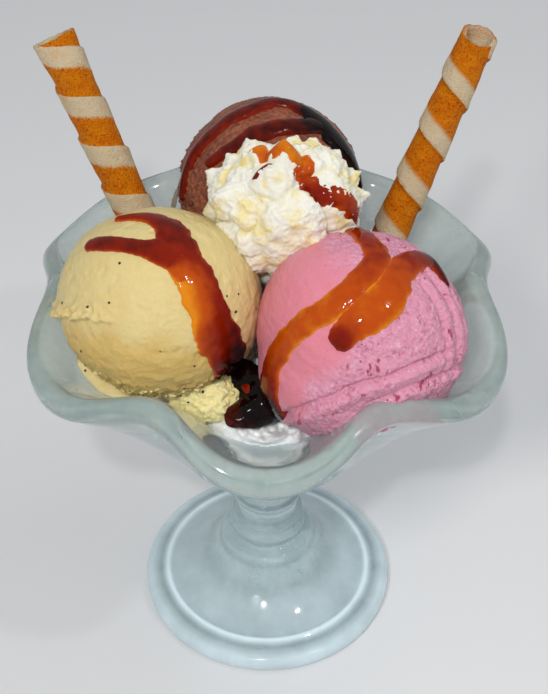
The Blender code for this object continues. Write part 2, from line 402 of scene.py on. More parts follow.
class Palette:
    """One material and the nodes that colour it."""

    def __init__(self, name: str) -> None:
        """Start a material with a Principled shader."""
        self.material = bpy.data.materials.new(name)
        self.material.use_nodes = True
        self.tree = self.material.node_tree
        self.shader = self.tree.nodes["Principled BSDF"]
        self.output = self.tree.nodes["Material Output"]

    def node(self, kind: str, settings: dict[str, Any], inputs: dict[Any, Any]) -> bpy.types.Node:
        """Add a node: its settings first, then its inputs.

        Args:
            kind: Node type.
            settings: Properties of the node.
            inputs: Values, wires or sockets by input name or number.

        Returns:
            The new node.
        """
        made = self.tree.nodes.new(kind)
        for key, value in settings.items():
            setattr(made, key, value)
        for key, value in inputs.items():
            self.plug(made.inputs[key], value)
        return made

    def add(self, kind: str, settings: dict[str, Any], inputs: dict[Any, Any], out: Any = 0) -> Wire:
        """Add a node and return one of its outputs as a wire."""
        return Wire(self, self.node(kind, settings, inputs).outputs[out])

    def plug(self, socket: bpy.types.NodeSocket, value: Any) -> None:
        """Link a wire to a socket, or set its value."""
        if isinstance(value, Wire):
            self.tree.links.new(value.socket, socket)
        elif isinstance(value, (tuple, list)) and len(value) == 3 and socket.type == "RGBA":
            socket.default_value = (*value, 1.0)
        else:
            socket.default_value = value

    def place(self, scale: tuple[float, float, float] = (1.0, 1.0, 1.0)) -> Wire:
        """Object coordinates in millimetres, stretched by scale."""
        spot = self.add("ShaderNodeTexCoord", {}, {}, "Object")
        size = tuple(1000.0 * s for s in scale)
        return self.add("ShaderNodeVectorMath", {"operation": "MULTIPLY"}, {0: spot, 1: size})

    def lumps(self, place: Wire, size: float, detail: float = 2.0, rough: float = 0.5) -> Wire:
        """Noise of lumps about size millimetres wide."""
        return self.add(
            "ShaderNodeTexNoise",
            {},
            {"Vector": place, "Scale": 1.0 / size, "Detail": detail, "Roughness": rough},
        )

    def cells(self, place: Wire, size: float, out: str = "Distance") -> Wire:
        """Cells about size millimetres wide."""
        return self.add("ShaderNodeTexVoronoi", {}, {"Vector": place, "Scale": 1.0 / size}, out)

    def part(self, name: str) -> Wire:
        """Stored vertex value."""
        return self.add("ShaderNodeAttribute", {"attribute_name": name}, {}, "Fac")

    def blend(self, share: Any, first: Any, second: Any) -> Wire:
        """Mix two colours by share.

        Args:
            share: 0 for the first, 1 for the second.
            first: Colour or wire.
            second: Colour or wire.

        Returns:
            The mixed colour.
        """
        mix = self.node("ShaderNodeMix", {"data_type": "RGBA"}, {0: share})
        self.plug(mix.inputs[6], first)
        self.plug(mix.inputs[7], second)
        return Wire(self, mix.outputs[2])

    def bump(self, height: Wire, strength: float, distance: float) -> Wire:
        """Relief from a height; distance is in millimetres."""
        return self.add(
            "ShaderNodeBump",
            {},
            {"Height": height, "Strength": strength, "Distance": distance * MM},
        )

    def set(self, **values: Any) -> None:
        """Set or link shader inputs; underscores stand for spaces."""
        for key, value in values.items():
            self.plug(self.shader.inputs[key.replace("_", " ")], value)


Color = tuple[float, float, float]


@dataclass(frozen=True)
class ClearGlass:
    """Thick pressed glass mixed with a pale grey-blue diffuse layer of painted light."""

    name: str = "pressed_glass"
    tint: Color = (0.93, 0.985, 1.0)
    # Colours of the pale layer: painted light through the glass, and painted darker shade on the lip.
    milk: Color = (0.79, 0.94, 1.0)
    lip_painted_shade: Color = (0.56, 0.66, 0.62)
    depth_color: Color = (0.45, 0.74, 0.62)
    density: float = 6.0

    def make(self) -> bpy.types.Material:
        """Build the material."""
        p = Palette(self.name)
        spot = p.place()
        ripple = p.lumps(spot, 9.0, 2.0)
        apart = p.add("ShaderNodeSeparateXYZ", {}, {0: spot}, "X")
        seam = abs(apart).band(0.35, 0.0)
        p.set(
            Base_Color=self.tint,
            Roughness=0.04,
            IOR=1.5,
            Transmission_Weight=1.0,
            Specular_IOR_Level=0.6,
            Normal=p.bump(ripple + p.lumps(spot, 3.0, 1.0) * 0.25 + seam * 0.25, 0.4, 0.5),
        )
        # Pale diffuse layer: painted light standing in for light through the glass; on the lip it turns
        # darker grey-green, painted shade.
        milk = p.node("ShaderNodeBsdfPrincipled", {}, {})
        p.plug(milk.inputs["Base Color"], p.blend(p.part("rim"), self.milk, self.lip_painted_shade))
        p.plug(milk.inputs["Roughness"], 0.12)
        p.plug(milk.inputs["Coat Weight"], 0.6)
        # Noise in the layer's share: painted reflection streaks.
        painted_reflection_streaks = p.lumps(p.place((1.0, 1.0, 0.5)), 7.0, 4.0, 0.6) - 0.5
        share = (p.part("milk") + painted_reflection_streaks * 0.30).least(1.0)
        mix = p.node("ShaderNodeMixShader", {}, {0: share})
        p.tree.links.new(p.shader.outputs[0], mix.inputs[1])
        p.tree.links.new(milk.outputs[0], mix.inputs[2])
        p.tree.links.new(mix.outputs[0], p.output.inputs["Surface"])
        haze = p.node("ShaderNodeVolumeAbsorption", {}, {"Color": self.depth_color, "Density": self.density})
        p.tree.links.new(haze.outputs[0], p.output.inputs["Volume"])
        return p.material


@dataclass(frozen=True)
class VanillaIce:
    """Smooth pale yellow ice cream with black specks."""

    name: str = "vanilla_ice"
    pale: Color = (0.70, 0.565, 0.255)
    deep: Color = (0.64, 0.435, 0.13)
    speck: Color = (0.02, 0.012, 0.008)
    crumbly: float = 0.0

    def make(self) -> bpy.types.Material:
        """Build the material."""
        p = Palette(self.name)
        spot = p.place()
        broad = p.lumps(spot, 9.0, 3.0)
        fine = p.lumps(spot, 1.1, 4.0, 0.6)
        low = p.part("low")
        tone = (broad * 0.7 + fine * 0.4 + low * 0.55 - 0.32).band(0.1, 0.95)
        base = p.blend(tone, self.pale, self.deep)
        near = p.cells(spot, 4.2)
        tiny = p.cells(p.place((1.0, 1.3, 1.1)), 1.9)
        rare = p.lumps(spot, 13.0, 1.0).band(0.42, 0.6)
        specks = near.band(0.110, 0.075) + tiny.band(0.075, 0.04) * rare * 0.5
        base = p.blend(specks.least(1.0), base, self.speck)
        relief = fine * 0.5 + p.lumps(spot, 3.5, 3.0) * 0.8 + p.lumps(spot, 0.5, 2.0) * self.crumbly
        p.set(
            Base_Color=base,
            Roughness=0.34 + fine * 0.2,
            Subsurface_Weight=0.25,
            Subsurface_Radius=(1.0, 0.6, 0.25),
            Subsurface_Scale=0.0012,
            Specular_IOR_Level=0.35,
            Normal=p.bump(relief, 0.7, 0.65),
        )
        return p.material


@dataclass(frozen=True)
class StrawberryIce:
    """Pink ice cream, icy and pored where torn, with crimson fruit."""

    name: str = "strawberry_ice"
    smooth: Color = (0.74, 0.235, 0.30)
    frost: Color = (0.74, 0.31, 0.43)
    shade: Color = (0.46, 0.11, 0.20)
    fruit: Color = (0.34, 0.010, 0.06)
    rime: Color = (0.80, 0.55, 0.66)

    def make(self) -> bpy.types.Material:
        """Build the material."""
        p = Palette(self.name)
        spot = p.place()
        torn = p.part("torn")
        broad = p.lumps(spot, 7.0, 3.0)
        fine = p.lumps(spot, 0.9, 4.0, 0.65)
        grain = p.cells(spot, 1.1)
        base = p.blend((torn * 0.8 + broad * 0.9 - 0.42).band(0.0, 0.8), self.smooth, self.frost)
        # Darker pink in the pores of the torn ice: painted shade.
        pores = fine.band(0.5, 0.36) * (torn * 0.9 + 0.1) * (p.lumps(spot, 4.0, 2.0).band(0.4, 0.62))
        base = p.blend(pores * 0.7, base, self.shade)
        base = p.blend(fine.band(0.55, 0.68) * torn * 0.7, base, self.rime)
        streak = p.lumps(p.place((1.0, 0.5, 0.45)), 2.6, 3.0, 0.6).band(0.64, 0.70)
        dots = p.cells(spot, 3.4).band(0.10, 0.055)
        base = p.blend((streak + dots).least(1.0) * (torn * 0.7 + 0.15), base, self.fruit)
        relief = fine * (torn * 0.95 + 0.3) + grain * torn * 0.5 + p.lumps(spot, 3.0, 3.0) * 0.6
        p.set(
            Base_Color=base,
            Roughness=0.28 + fine * 0.25,
            Subsurface_Weight=0.2,
            Subsurface_Radius=(1.0, 0.35, 0.3),
            Subsurface_Scale=0.0012,
            Specular_IOR_Level=0.45,
            Normal=p.bump(relief, 0.7, 0.7),
        )
        return p.material


@dataclass(frozen=True)
class ChocolateIce:
    """Brown ice cream with open pores and fine ridges."""

    name: str = "chocolate_ice"
    light: Color = (0.40, 0.118, 0.055)
    dark: Color = (0.08, 0.018, 0.010)

    def make(self) -> bpy.types.Material:
        """Build the material."""
        p = Palette(self.name)
        spot = p.place()
        broad = p.lumps(spot, 6.0, 3.0)
        pores = p.lumps(spot, 1.2, 4.0, 0.7)
        cells = p.cells(spot, 1.3)
        tone = (pores * 0.8 + broad * 0.5 - 0.2).band(0.1, 0.75)
        base = p.blend(tone, self.dark, self.light)
        # Dark dots in the pores: painted shade.
        base = p.blend(cells.band(0.28, 0.1) * 0.55, base, self.dark)
        p.set(
            Base_Color=base,
            Roughness=0.26 + pores * 0.2,
            Subsurface_Weight=0.1,
            Subsurface_Radius=(0.6, 0.3, 0.2),
            Subsurface_Scale=0.001,
            Specular_IOR_Level=0.5,
            Normal=p.bump(pores * 1.0 + cells * 0.6, 0.8, 0.9),
        )
        return p.material


@dataclass(frozen=True)
class SoftCream:
    """Whipped cream: off-white, yellower in random patches and, as painted shade, in its hollows."""

    name: str = "soft_cream"
    white: Color = (0.82, 0.80, 0.70)
    tint_and_hollow_shade: Color = (0.82, 0.68, 0.27)
    yellow: float = 1.0

    def make(self) -> bpy.types.Material:
        """Build the material."""
        p = Palette(self.name)
        spot = p.place()
        hollow = p.part("hollow")
        patch = p.lumps(spot, 5.0, 2.0).band(0.48, 0.68)
        fine = p.lumps(spot, 0.8, 3.0, 0.6)
        # Yellower tint: random patches, and painted shade in the hollows.
        share = (patch * 0.75 + hollow * 0.45).least(1.0) * self.yellow
        base = p.blend(share, self.white, self.tint_and_hollow_shade)
        p.set(
            Base_Color=base,
            Roughness=0.45 + fine * 0.15,
            Subsurface_Weight=0.35,
            Subsurface_Radius=(1.0, 0.85, 0.6),
            Subsurface_Scale=0.0018,
            Specular_IOR_Level=0.4,
            Normal=p.bump(fine * 0.6 + p.lumps(spot, 2.2, 3.0), 0.5, 0.5),
        )
        return p.material


@dataclass(frozen=True)
class CaramelSauce:
    """Glossy sauce: amber where thin, red-brown, near black where deep."""

    name: str = "caramel_sauce"
    amber: Color = (0.70, 0.22, 0.006)
    orange: Color = (0.46, 0.062, 0.002)
    red: Color = (0.22, 0.010, 0.001)
    black: Color = (0.004, 0.001, 0.001)

    def make(self) -> bpy.types.Material:
        """Build the material, or return the one already built."""
        ready = bpy.data.materials.get(self.name)
        if ready:
            return ready
        p = Palette(self.name)
        spot = p.place()
        swirl = p.lumps(spot, 3.2, 2.0, 0.5)
        depth = p.part("depth") + (swirl - 0.5) * 0.34
        base = p.blend(depth.band(0.02, 0.34), self.amber, self.orange)
        base = p.blend(depth.band(0.34, 0.66), base, self.red)
        base = p.blend(depth.band(0.62, 0.98), base, self.black)
        p.set(
            Base_Color=base,
            Roughness=0.07,
            IOR=1.42,
            Specular_IOR_Level=0.28,
            Normal=p.bump(swirl + p.lumps(spot, 1.3, 2.0) * 0.35, 0.22, 0.4),
        )
        return p.material


@dataclass(frozen=True)
class BakedWafer:
    """Rolled wafer: golden-brown band and pale band along each winding.

    The brown band runs from start to stop, as shares of one winding, and
    fades over the softness given for each end.
    """

    name: str = "baked_wafer"
    start: float = 0.36
    stop: float = 1.0
    soft_start: float = 0.10
    soft_stop: float = 0.012
    gold: Color = (0.82, 0.30, 0.008)
    brown: Color = (0.68, 0.155, 0.001)
    burnt: Color = (0.32, 0.055, 0.002)
    pale: Color = (0.76, 0.61, 0.40)

    def make(self) -> bpy.types.Material:
        """Build the material."""
        p = Palette(self.name)
        spot = p.place()
        back, side, inside = 0.0 - p.part("wrap_a"), 0.0 - p.part("wrap_b"), p.part("inside")
        share = back.arc(side) / (2.0 * math.pi) + 0.5
        fine = p.lumps(spot, 0.55, 4.0, 0.7)
        patch = p.lumps(spot, 2.6, 3.0, 0.55)
        loose = share + (patch - 0.5) * 0.10 + (fine - 0.5) * 0.10
        rises = (loose if self.soft_start > 0.02 else share).band(self.start, self.start + self.soft_start)
        falls = (loose if self.soft_stop > 0.02 else share).band(self.stop, self.stop - self.soft_stop)
        brown = rises * falls
        tone = (patch * 0.9 + fine * 0.9 - 0.55 + brown * 0.25).band(0.1, 0.85)
        toast = p.blend(tone, self.gold, self.brown)
        toast = p.blend(fine.band(0.53, 0.66) * 0.85, toast, self.burnt)
        toast = p.blend(fine.band(0.44, 0.30) * 0.7, toast, self.gold)
        base = p.blend(brown, p.blend(patch.band(0.5, 0.75) * 0.35, self.pale, self.gold), toast)
        freckle = p.cells(spot, 1.3).band(0.16, 0.08) * (1.0 - brown) * 0.5
        base = p.blend(freckle, base, self.brown)
        base = p.blend(inside * 0.7, base, self.pale)
        p.set(
            Base_Color=base,
            Roughness=0.62,
            Specular_IOR_Level=0.10,
            Normal=p.bump(fine * 1.4 + patch * 0.6, 1.0, 0.7),
        )
        return p.material


# ------------------------------------------------------------------ glass


@dataclass
class GlassShape:
    """Sizes of the glass, as angle-dependent profiles of radius and height."""

    lobes: int = 6
    lip_radius: float = 56.4 * MM
    lip_height: float = 108.2 * MM
    lobe_reach: float = 3.9 * MM
    lobe_drop: float = 3.7 * MM
    lobe_sharp: float = -0.6 * MM
    lip_round: float = 3.4 * MM
    floor: float = 57.5 * MM
    table: np.ndarray = field(init=False, repr=False)

    def __post_init__(self) -> None:
        """Tabulate the inside radius by angle and height."""
        heights = self.floor + np.arange(0.0, 56.0, 0.5) * MM
        rows = []
        for degree in range(0, 360, 2):
            profile = self.inside(math.radians(degree), 60)
            z = [p.y for p in profile]
            r = [p.x for p in profile]
            rows.append(np.interp(heights, z, r))
        self.table = np.array(rows)

    def wave(self, angle: float) -> float:
        """+1 mid lobe, -1 at a notch."""
        return math.cos(self.lobes * (angle + math.pi / 2))

    def lip(self, angle: float) -> Vector:
        """Middle of the rounded lip: radius and height."""
        ripple = math.cos(2 * self.lobes * (angle + math.pi / 2))
        radius = self.lip_radius + self.lobe_reach * self.wave(angle) + self.lobe_sharp * ripple
        return Vector((radius, self.lip_height - self.lobe_drop * self.wave(angle)))

    def slope(self, angle: float) -> float:
        """Angle at which the wall runs up into the lip."""
        run = self.lip(angle) - Vector((37.0 * MM, 88.0 * MM))
        return math.atan2(run.y, run.x)

    def inside(self, angle: float, count: int) -> list[Vector]:
        """Inside profile from the floor's middle up to the lip's round."""
        wave, slope = self.wave(angle), self.slope(angle)
        side = Vector((-math.sin(slope), math.cos(slope)))
        controls = [
            Vector((0.0, self.floor)),
            Vector((9.0, 59.2)) * MM,
            Vector((17.0, 66.5)) * MM,
            Vector((24.0, 78.0)) * MM,
            Vector((31.5, 88.6)) * MM,
            Vector((40.5 + 1.6 * wave, 98.3 - 2.7 * wave)) * MM,
            self.lip(angle) + side * self.lip_round,
        ]
        return bend(controls, count)

    def outside(self, angle: float, count: int) -> list[Vector]:
        """Outside profile from the lip's round down to the stem."""
        wave, slope = self.wave(angle), self.slope(angle)
        side = Vector((math.sin(slope), -math.cos(slope)))
        controls = [
            self.lip(angle) + side * self.lip_round,
            Vector((46.0 + 2.6 * wave, 92.6 - 2.9 * wave)) * MM,
            Vector((37.1 + 1.2 * wave, 79.5)) * MM,
            Vector((29.5, 68.0)) * MM,
            Vector((20.5, 55.5)) * MM,
            Vector((11.5, 46.0)) * MM,
            Vector((8.6, 42.0)) * MM,
        ]
        return bend(controls, count)

    def round_lip(self, angle: float, count: int) -> list[Vector]:
        """Rounded lip from the inside over the top to the outside."""
        centre, slope = self.lip(angle), self.slope(angle)
        out = []
        for i in range(1, count):
            turn = slope + math.pi / 2 - math.pi * i / count
            out.append(centre + self.lip_round * Vector((math.cos(turn), math.sin(turn))))
        return out

    def stem_and_foot(self, count: int) -> list[Vector]:
        """Ringed stem, domed foot, raised ring and rounded foot edge."""
        sizes = (
            (8.6, 39.8), (9.7, 38.6), (8.7, 37.2), (8.6, 32.2), (10.1, 30.8), (9.2, 28.6), (10.8, 26.4),
            (9.6, 23.6), (12.6, 22.0), (13.4, 20.4), (14.0, 17.4), (17.5, 12.9), (23.0, 8.8), (27.6, 6.6),
            (29.2, 6.9), (30.6, 6.2), (32.6, 5.6), (35.0, 4.9), (36.0, 3.2), (35.7, 1.0), (34.6, 0.0),
        )
        return bend([Vector(s) * MM for s in sizes], count)

    def inside_radius(self, places: np.ndarray) -> np.ndarray:
        """Radius of the bowl's inside at the angle and height of each place."""
        angle = np.degrees(np.arctan2(places[:, 1], places[:, 0])) % 360.0 / 2.0
        level = np.clip((places[:, 2] - self.floor) / (0.5 * MM), 0, self.table.shape[1] - 1.001)
        a0 = angle.astype(int) % 180
        a1 = (a0 + 1) % 180
        fa = angle - np.floor(angle)
        z0 = level.astype(int)
        fz = level - z0
        low = self.table[a0, z0] * (1 - fz) + self.table[a0, z0 + 1] * fz
        high = self.table[a1, z0] * (1 - fz) + self.table[a1, z0 + 1] * fz
        return low * (1 - fa) + high * fa

    def hold_in(self, places: np.ndarray, clear: float) -> np.ndarray:
        """Push places that cross the bowl's inside back into the bowl.

        Args:
            places: Points in metres.
            clear: Distance kept from the wall; below 0 it reaches into it.

        Returns:
            The corrected points.
        """
        out = places.copy()
        radius = np.hypot(out[:, 0], out[:, 1])
        limit = self.inside_radius(out) - clear
        below = out[:, 2] < self.lip_height - self.lobe_drop
        share = np.where(below & (radius > limit), limit / np.maximum(radius, 1e-9), 1.0)
        out[:, 0] *= share
        out[:, 1] *= share
        return out


@dataclass
class FootedGlass:
    """Pressed glass turned from a globe whose rings follow the profiles."""

    shape: GlassShape
    around: int = 240
    finish: ClearGlass = field(default_factory=ClearGlass)

    def build(self) -> bpy.types.Object:
        """Shape, dress and place the glass."""
        first = self.profile(0.0)
        obj = Bench.ball("footed_glass", self.around, len(first) - 1)
        globe = Bench.points(obj)
        row = np.rint(np.arccos(np.clip(globe[:, 2], -1, 1)) * (len(first) - 1) / math.pi).astype(int)
        turn = np.arctan2(globe[:, 1], globe[:, 0])
        profiles: dict[int, np.ndarray] = {}
        out = np.zeros_like(globe)
        for i, (r, a) in enumerate(zip(row, turn)):
            key = round(a * self.around / (2 * math.pi))
            if key not in profiles:
                profiles[key] = np.array([tuple(p) for p in self.profile(2 * math.pi * key / self.around)])
            radius, height = profiles[key][r]
            out[i] = (radius * math.cos(a), radius * math.sin(a), height)
        Bench.move(obj, out)
        # Share of painted light through the glass, and where the lip turns to its painted darker shade.
        Bench.store(obj, "milk", self.painted_glow_share(out / MM))
        Bench.store(obj, "rim", ease(93.0 * MM, 102.0 * MM, out[:, 2]))
        Bench.smooth(obj)
        obj.data.materials.append(self.finish.make())
        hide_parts("glass")
        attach(obj, "root")
        return obj

    def painted_glow_share(self, places: np.ndarray) -> np.ndarray:
        """Share of the pale layer of painted light through the glass: most on the foot, its painted bright
        ring and its painted edge.

        Args:
            places: Points in millimetres.

        Returns:
            Share for each point.
        """
        radius, height = np.hypot(places[:, 0], places[:, 1]), places[:, 2]
        foot = ease(14.0, 9.0, height)
        # Painted bright ring on the foot.
        ring = np.exp(-(((radius - 29.4) / 0.8) ** 2)) * 0.55
        # Painted light band at the foot's edge, with a painted dark line inside it.
        edge = ease(32.6, 34.6, radius) * 0.22 - np.exp(-(((radius - 31.6) / 0.8) ** 2)) * 0.20
        stem = ease(48.0, 40.0, height) * ease(9.0, 14.0, height)
        wash = 0.10 * cloud(places, 14.0, 5.0, 2)
        # More painted haze on the outer lip.
        lip = 0.22 * ease(40.0, 50.0, radius) * ease(90.0, 98.0, height)
        return np.clip(0.20 + foot * (0.31 + ring + edge + wash) + 0.10 * stem + lip, 0.0, 1.0)

    def profile(self, angle: float) -> list[Vector]:
        """Whole profile from the floor's middle to the underside's middle."""
        s = self.shape
        rim = s.inside(angle, 34) + s.round_lip(angle, 14) + s.outside(angle, 30)
        return rim + s.stem_and_foot(70) + [Vector((17.0 * MM, 0.0)), Vector((0.0, 0.0))]


# --------------------------------------------------------------- contents


@dataclass(frozen=True)
class Waypoint:
    """Point on a sauce stream, seen from the scoop's middle.

    The width is in millimetres, and lean makes the stream deeper on one side.
    """

    turn: float
    rise: float
    width: float
    depth: float
    lean: float = 0.0


@dataclass
class Stream:
    """Sauce that runs over a scoop through its waypoints."""

    route: tuple[Waypoint, ...]
    swell: float = 0.9

    def samples(self) -> tuple[np.ndarray, ...]:
        """Directions, left sides, half widths, depths and leans along the stream."""
        count = 14 * (len(self.route) - 1)
        way = np.array([tuple(v) for v in bend([heading(w.turn, w.rise) for w in self.route], count)])
        way /= np.linalg.norm(way, axis=1)[:, None]
        left = np.cross(way, np.gradient(way, axis=0))
        left /= np.linalg.norm(left, axis=1)[:, None]
        along = np.linspace(0.0, len(self.route) - 1.0, count + 1)
        knots = np.arange(len(self.route))
        half = np.interp(along, knots, [w.width / 2.0 for w in self.route])
        depth = np.interp(along, knots, [w.depth for w in self.route])
        lean = np.interp(along, knots, [w.lean for w in self.route])
        return way, left, half, depth, lean


@dataclass
class Mound:
    """Rounded heap seen from its middle, with sauce that runs over it."""

    name: str
    node: str
    slot: str
    centre: Vector
    radius: float
    finish: Any
    streams: tuple[Stream, ...] = ()
    squash: Vector = Vector((1.0, 1.0, 1.0))
    splits: int = 7
    thin_edge: float = 0.45

    def reach(self, u: np.ndarray, fine: bool = True) -> np.ndarray:
        """Distance from the middle to the surface, as a share of the radius.

        Args:
            u: Unit directions, one row each.
            fine: Whether the fine roughness is wanted too.

        Returns:
            One share for each direction.
        """
        return np.ones(len(u))

    def notes(self, obj: bpy.types.Object, u: np.ndarray) -> None:
        """Store what the finish needs to know about each vertex."""

    def build(self, glass: GlassShape) -> bpy.types.Object:
        """Shape, dress and place the mound, then pour its sauce.

        Args:
            glass: Glass that holds it.

        Returns:
            The new object.
        """
        obj = Bench.fine_ball(self.name, self.splits)
        u = Bench.points(obj)
        u /= np.linalg.norm(u, axis=1)[:, None]
        size = np.array(self.squash) * self.radius
        places = np.array(self.centre) + u * size * self.reach(u)[:, None]
        Bench.move(obj, glass.hold_in(places, 0.15 * MM))
        self.notes(obj, u)
        Bench.smooth(obj)
        obj.data.materials.append(self.finish.make())
        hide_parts(self.node)
        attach(obj, "root")
        if self.streams:
            self.pour(obj, glass)
        return obj

    def directions(self, places: np.ndarray) -> np.ndarray:
        """Unit directions, on the unsquashed ball, of places on the surface."""
        arm = (places - np.array(self.centre)) / np.array(self.squash)
        return arm / np.linalg.norm(arm, axis=1)[:, None]

    def spread(self, u: np.ndarray) -> tuple[np.ndarray, np.ndarray]:
        """Distance to the sauce's middle in half widths, and its depth.

        Args:
            u: Unit directions, one row each.

        Returns:
            Distance (below 1 under the sauce) and depth, for each direction.
        """
        p = u * self.radius / MM
        best = np.full(len(u), 9.0)
        depth = np.zeros(len(u))
        ragged = 0.20 * cloud(p, 3.4, 4.0) + 0.07 * cloud(p, 1.1, 6.0)
        for stream in self.streams:
            way, left, half, deep, lean = stream.samples()
            chord = np.sqrt(np.maximum(2.0 - 2.0 * u @ way.T, 0.0)) * self.radius / MM
            share = chord / half
            k = share.argmin(axis=1)
            near = share[np.arange(len(u)), k] + ragged
            side = np.einsum("ij,ij->i", u - way[k], left[k]) * self.radius / MM / half[k]
            level = deep[k] + lean[k] * np.clip(side, -1.0, 1.0)
            closer = near < best
            depth = np.where(closer, level, depth)
            best = np.minimum(best, near)
        return best, depth

    def pour(self, base: bpy.types.Object, glass: GlassShape) -> bpy.types.Object:
        """Lay the sauce over a copy of the surface, without its fine roughness.

        Args:
            base: Finished mound.
            glass: Glass that holds it.

        Returns:
            The sauce.
        """
        obj = Bench.copy(base, f"sauce_on_{self.name}")
        for layer in [a.name for a in obj.data.attributes if a.name in ("low", "torn", "hollow")]:
            obj.data.attributes.remove(obj.data.attributes[layer])
        near, _ = self.spread(self.directions(Bench.points(obj)))
        Bench.keep_faces(obj, near < 1.15)
        Bench.subdivide(obj)
        u = self.directions(Bench.points(obj))
        near, depth = self.spread(u)
        size = np.array(self.squash) * self.radius
        smooth = np.array(self.centre) + u * size * self.reach(u, False)[:, None]
        swell = max(s.swell for s in self.streams)
        body = np.sqrt(np.clip(1.0 - near**2, 0.0, 1.0))
        lift = np.where(near < 1.0, 0.12 + swell * body, 0.12 - 6.0 * (near - 1.0))
        places = smooth + u * (lift * MM)[:, None]
        Bench.move(obj, glass.hold_in(places, 0.05 * MM))
        Bench.store(obj, "depth", depth - self.thin_edge * (1.0 - body) ** 2)
        Bench.thicken(obj, 0.8 * MM)
        Bench.smooth(obj)
        obj.data.materials.clear()
        obj.data.materials.append(CaramelSauce().make())
        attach(obj, "root")
        LOG.info("%s: %d faces", obj.name, len(obj.data.polygons))
        return obj


class VanillaScoop(Mound):
    """Smooth dome, ragged ledge on its left, narrow and crumbly below."""

    def reach(self, u: np.ndarray, fine: bool = True) -> np.ndarray:
        """Dome, torn ledge, taper and crumbs."""
        p = u * self.radius / MM
        x, y, z = u.T
        crown = ease(0.6, 1.0, 0.67 * y + 0.74 * z)
        out = 1.0 - 0.05 * crown - 0.13 * ease(0.05, 0.8, -z)
        above = 0.15 * x + 0.669 * y + 0.743 * z + 0.25
        left = ease(-0.30, -0.55, x) * ease(0.5, 0.1, y)
        if not fine:
            return out - 0.03 * left * ease(0.0, -0.10, above) + 0.006 * cloud(p, 8.0, 1.0)
        above = above + 0.045 * cloud(p, 3.0, 2.0) + 0.030 * cloud(p, 1.1, 3.0, 2)
        lip = ease(0.16, 0.02, above) * ease(-0.015, 0.015, above) * (0.9 + 0.9 * cloud(p, 1.6, 6.0, 2))
        out += left * (0.058 * lip - 0.036 * ease(0.012, -0.02, above))
        smears = 0.004 * np.sin(above * 40.0 + 3.0 * cloud(p, 9.0, 7.0)) * ease(0.2, -0.3, above)
        crumbly = ease(0.13, 0.26, -z + 0.12 * cloud(p, 4.0, 8.0)) * ease(0.35, -0.1, y)
        crumbs = crumbly * (0.030 * cloud(p, 1.6, 5.0, 4) - 0.016 * (1 - curds(p, 1.3)) + 0.012)
        dents = (
            -0.010 * ease(0.25, 0.55, cloud(p, 3.0, 12.0))
            + 0.003 * cloud(p * np.array([0.6, 1.0, 2.2]), 3.0, 9.0, 2)
        )
        grain = 0.0045 * cloud(p, 2.4, 9.0, 3) + 0.0035 * cloud(p, 0.8, 4.0) + dents
        return out + 0.006 * cloud(p, 8.0, 1.0) + grain + smears + crumbs

    def notes(self, obj: bpy.types.Object, u: np.ndarray) -> None:
        """Mark how far below the dome each vertex lies."""
        above = 0.15 * u[:, 0] + 0.669 * u[:, 1] + 0.743 * u[:, 2] + 0.25
        Bench.store(obj, "low", ease(0.05, -0.25, above + 0.12 * cloud(u * 10, 3.0, 1.0)))


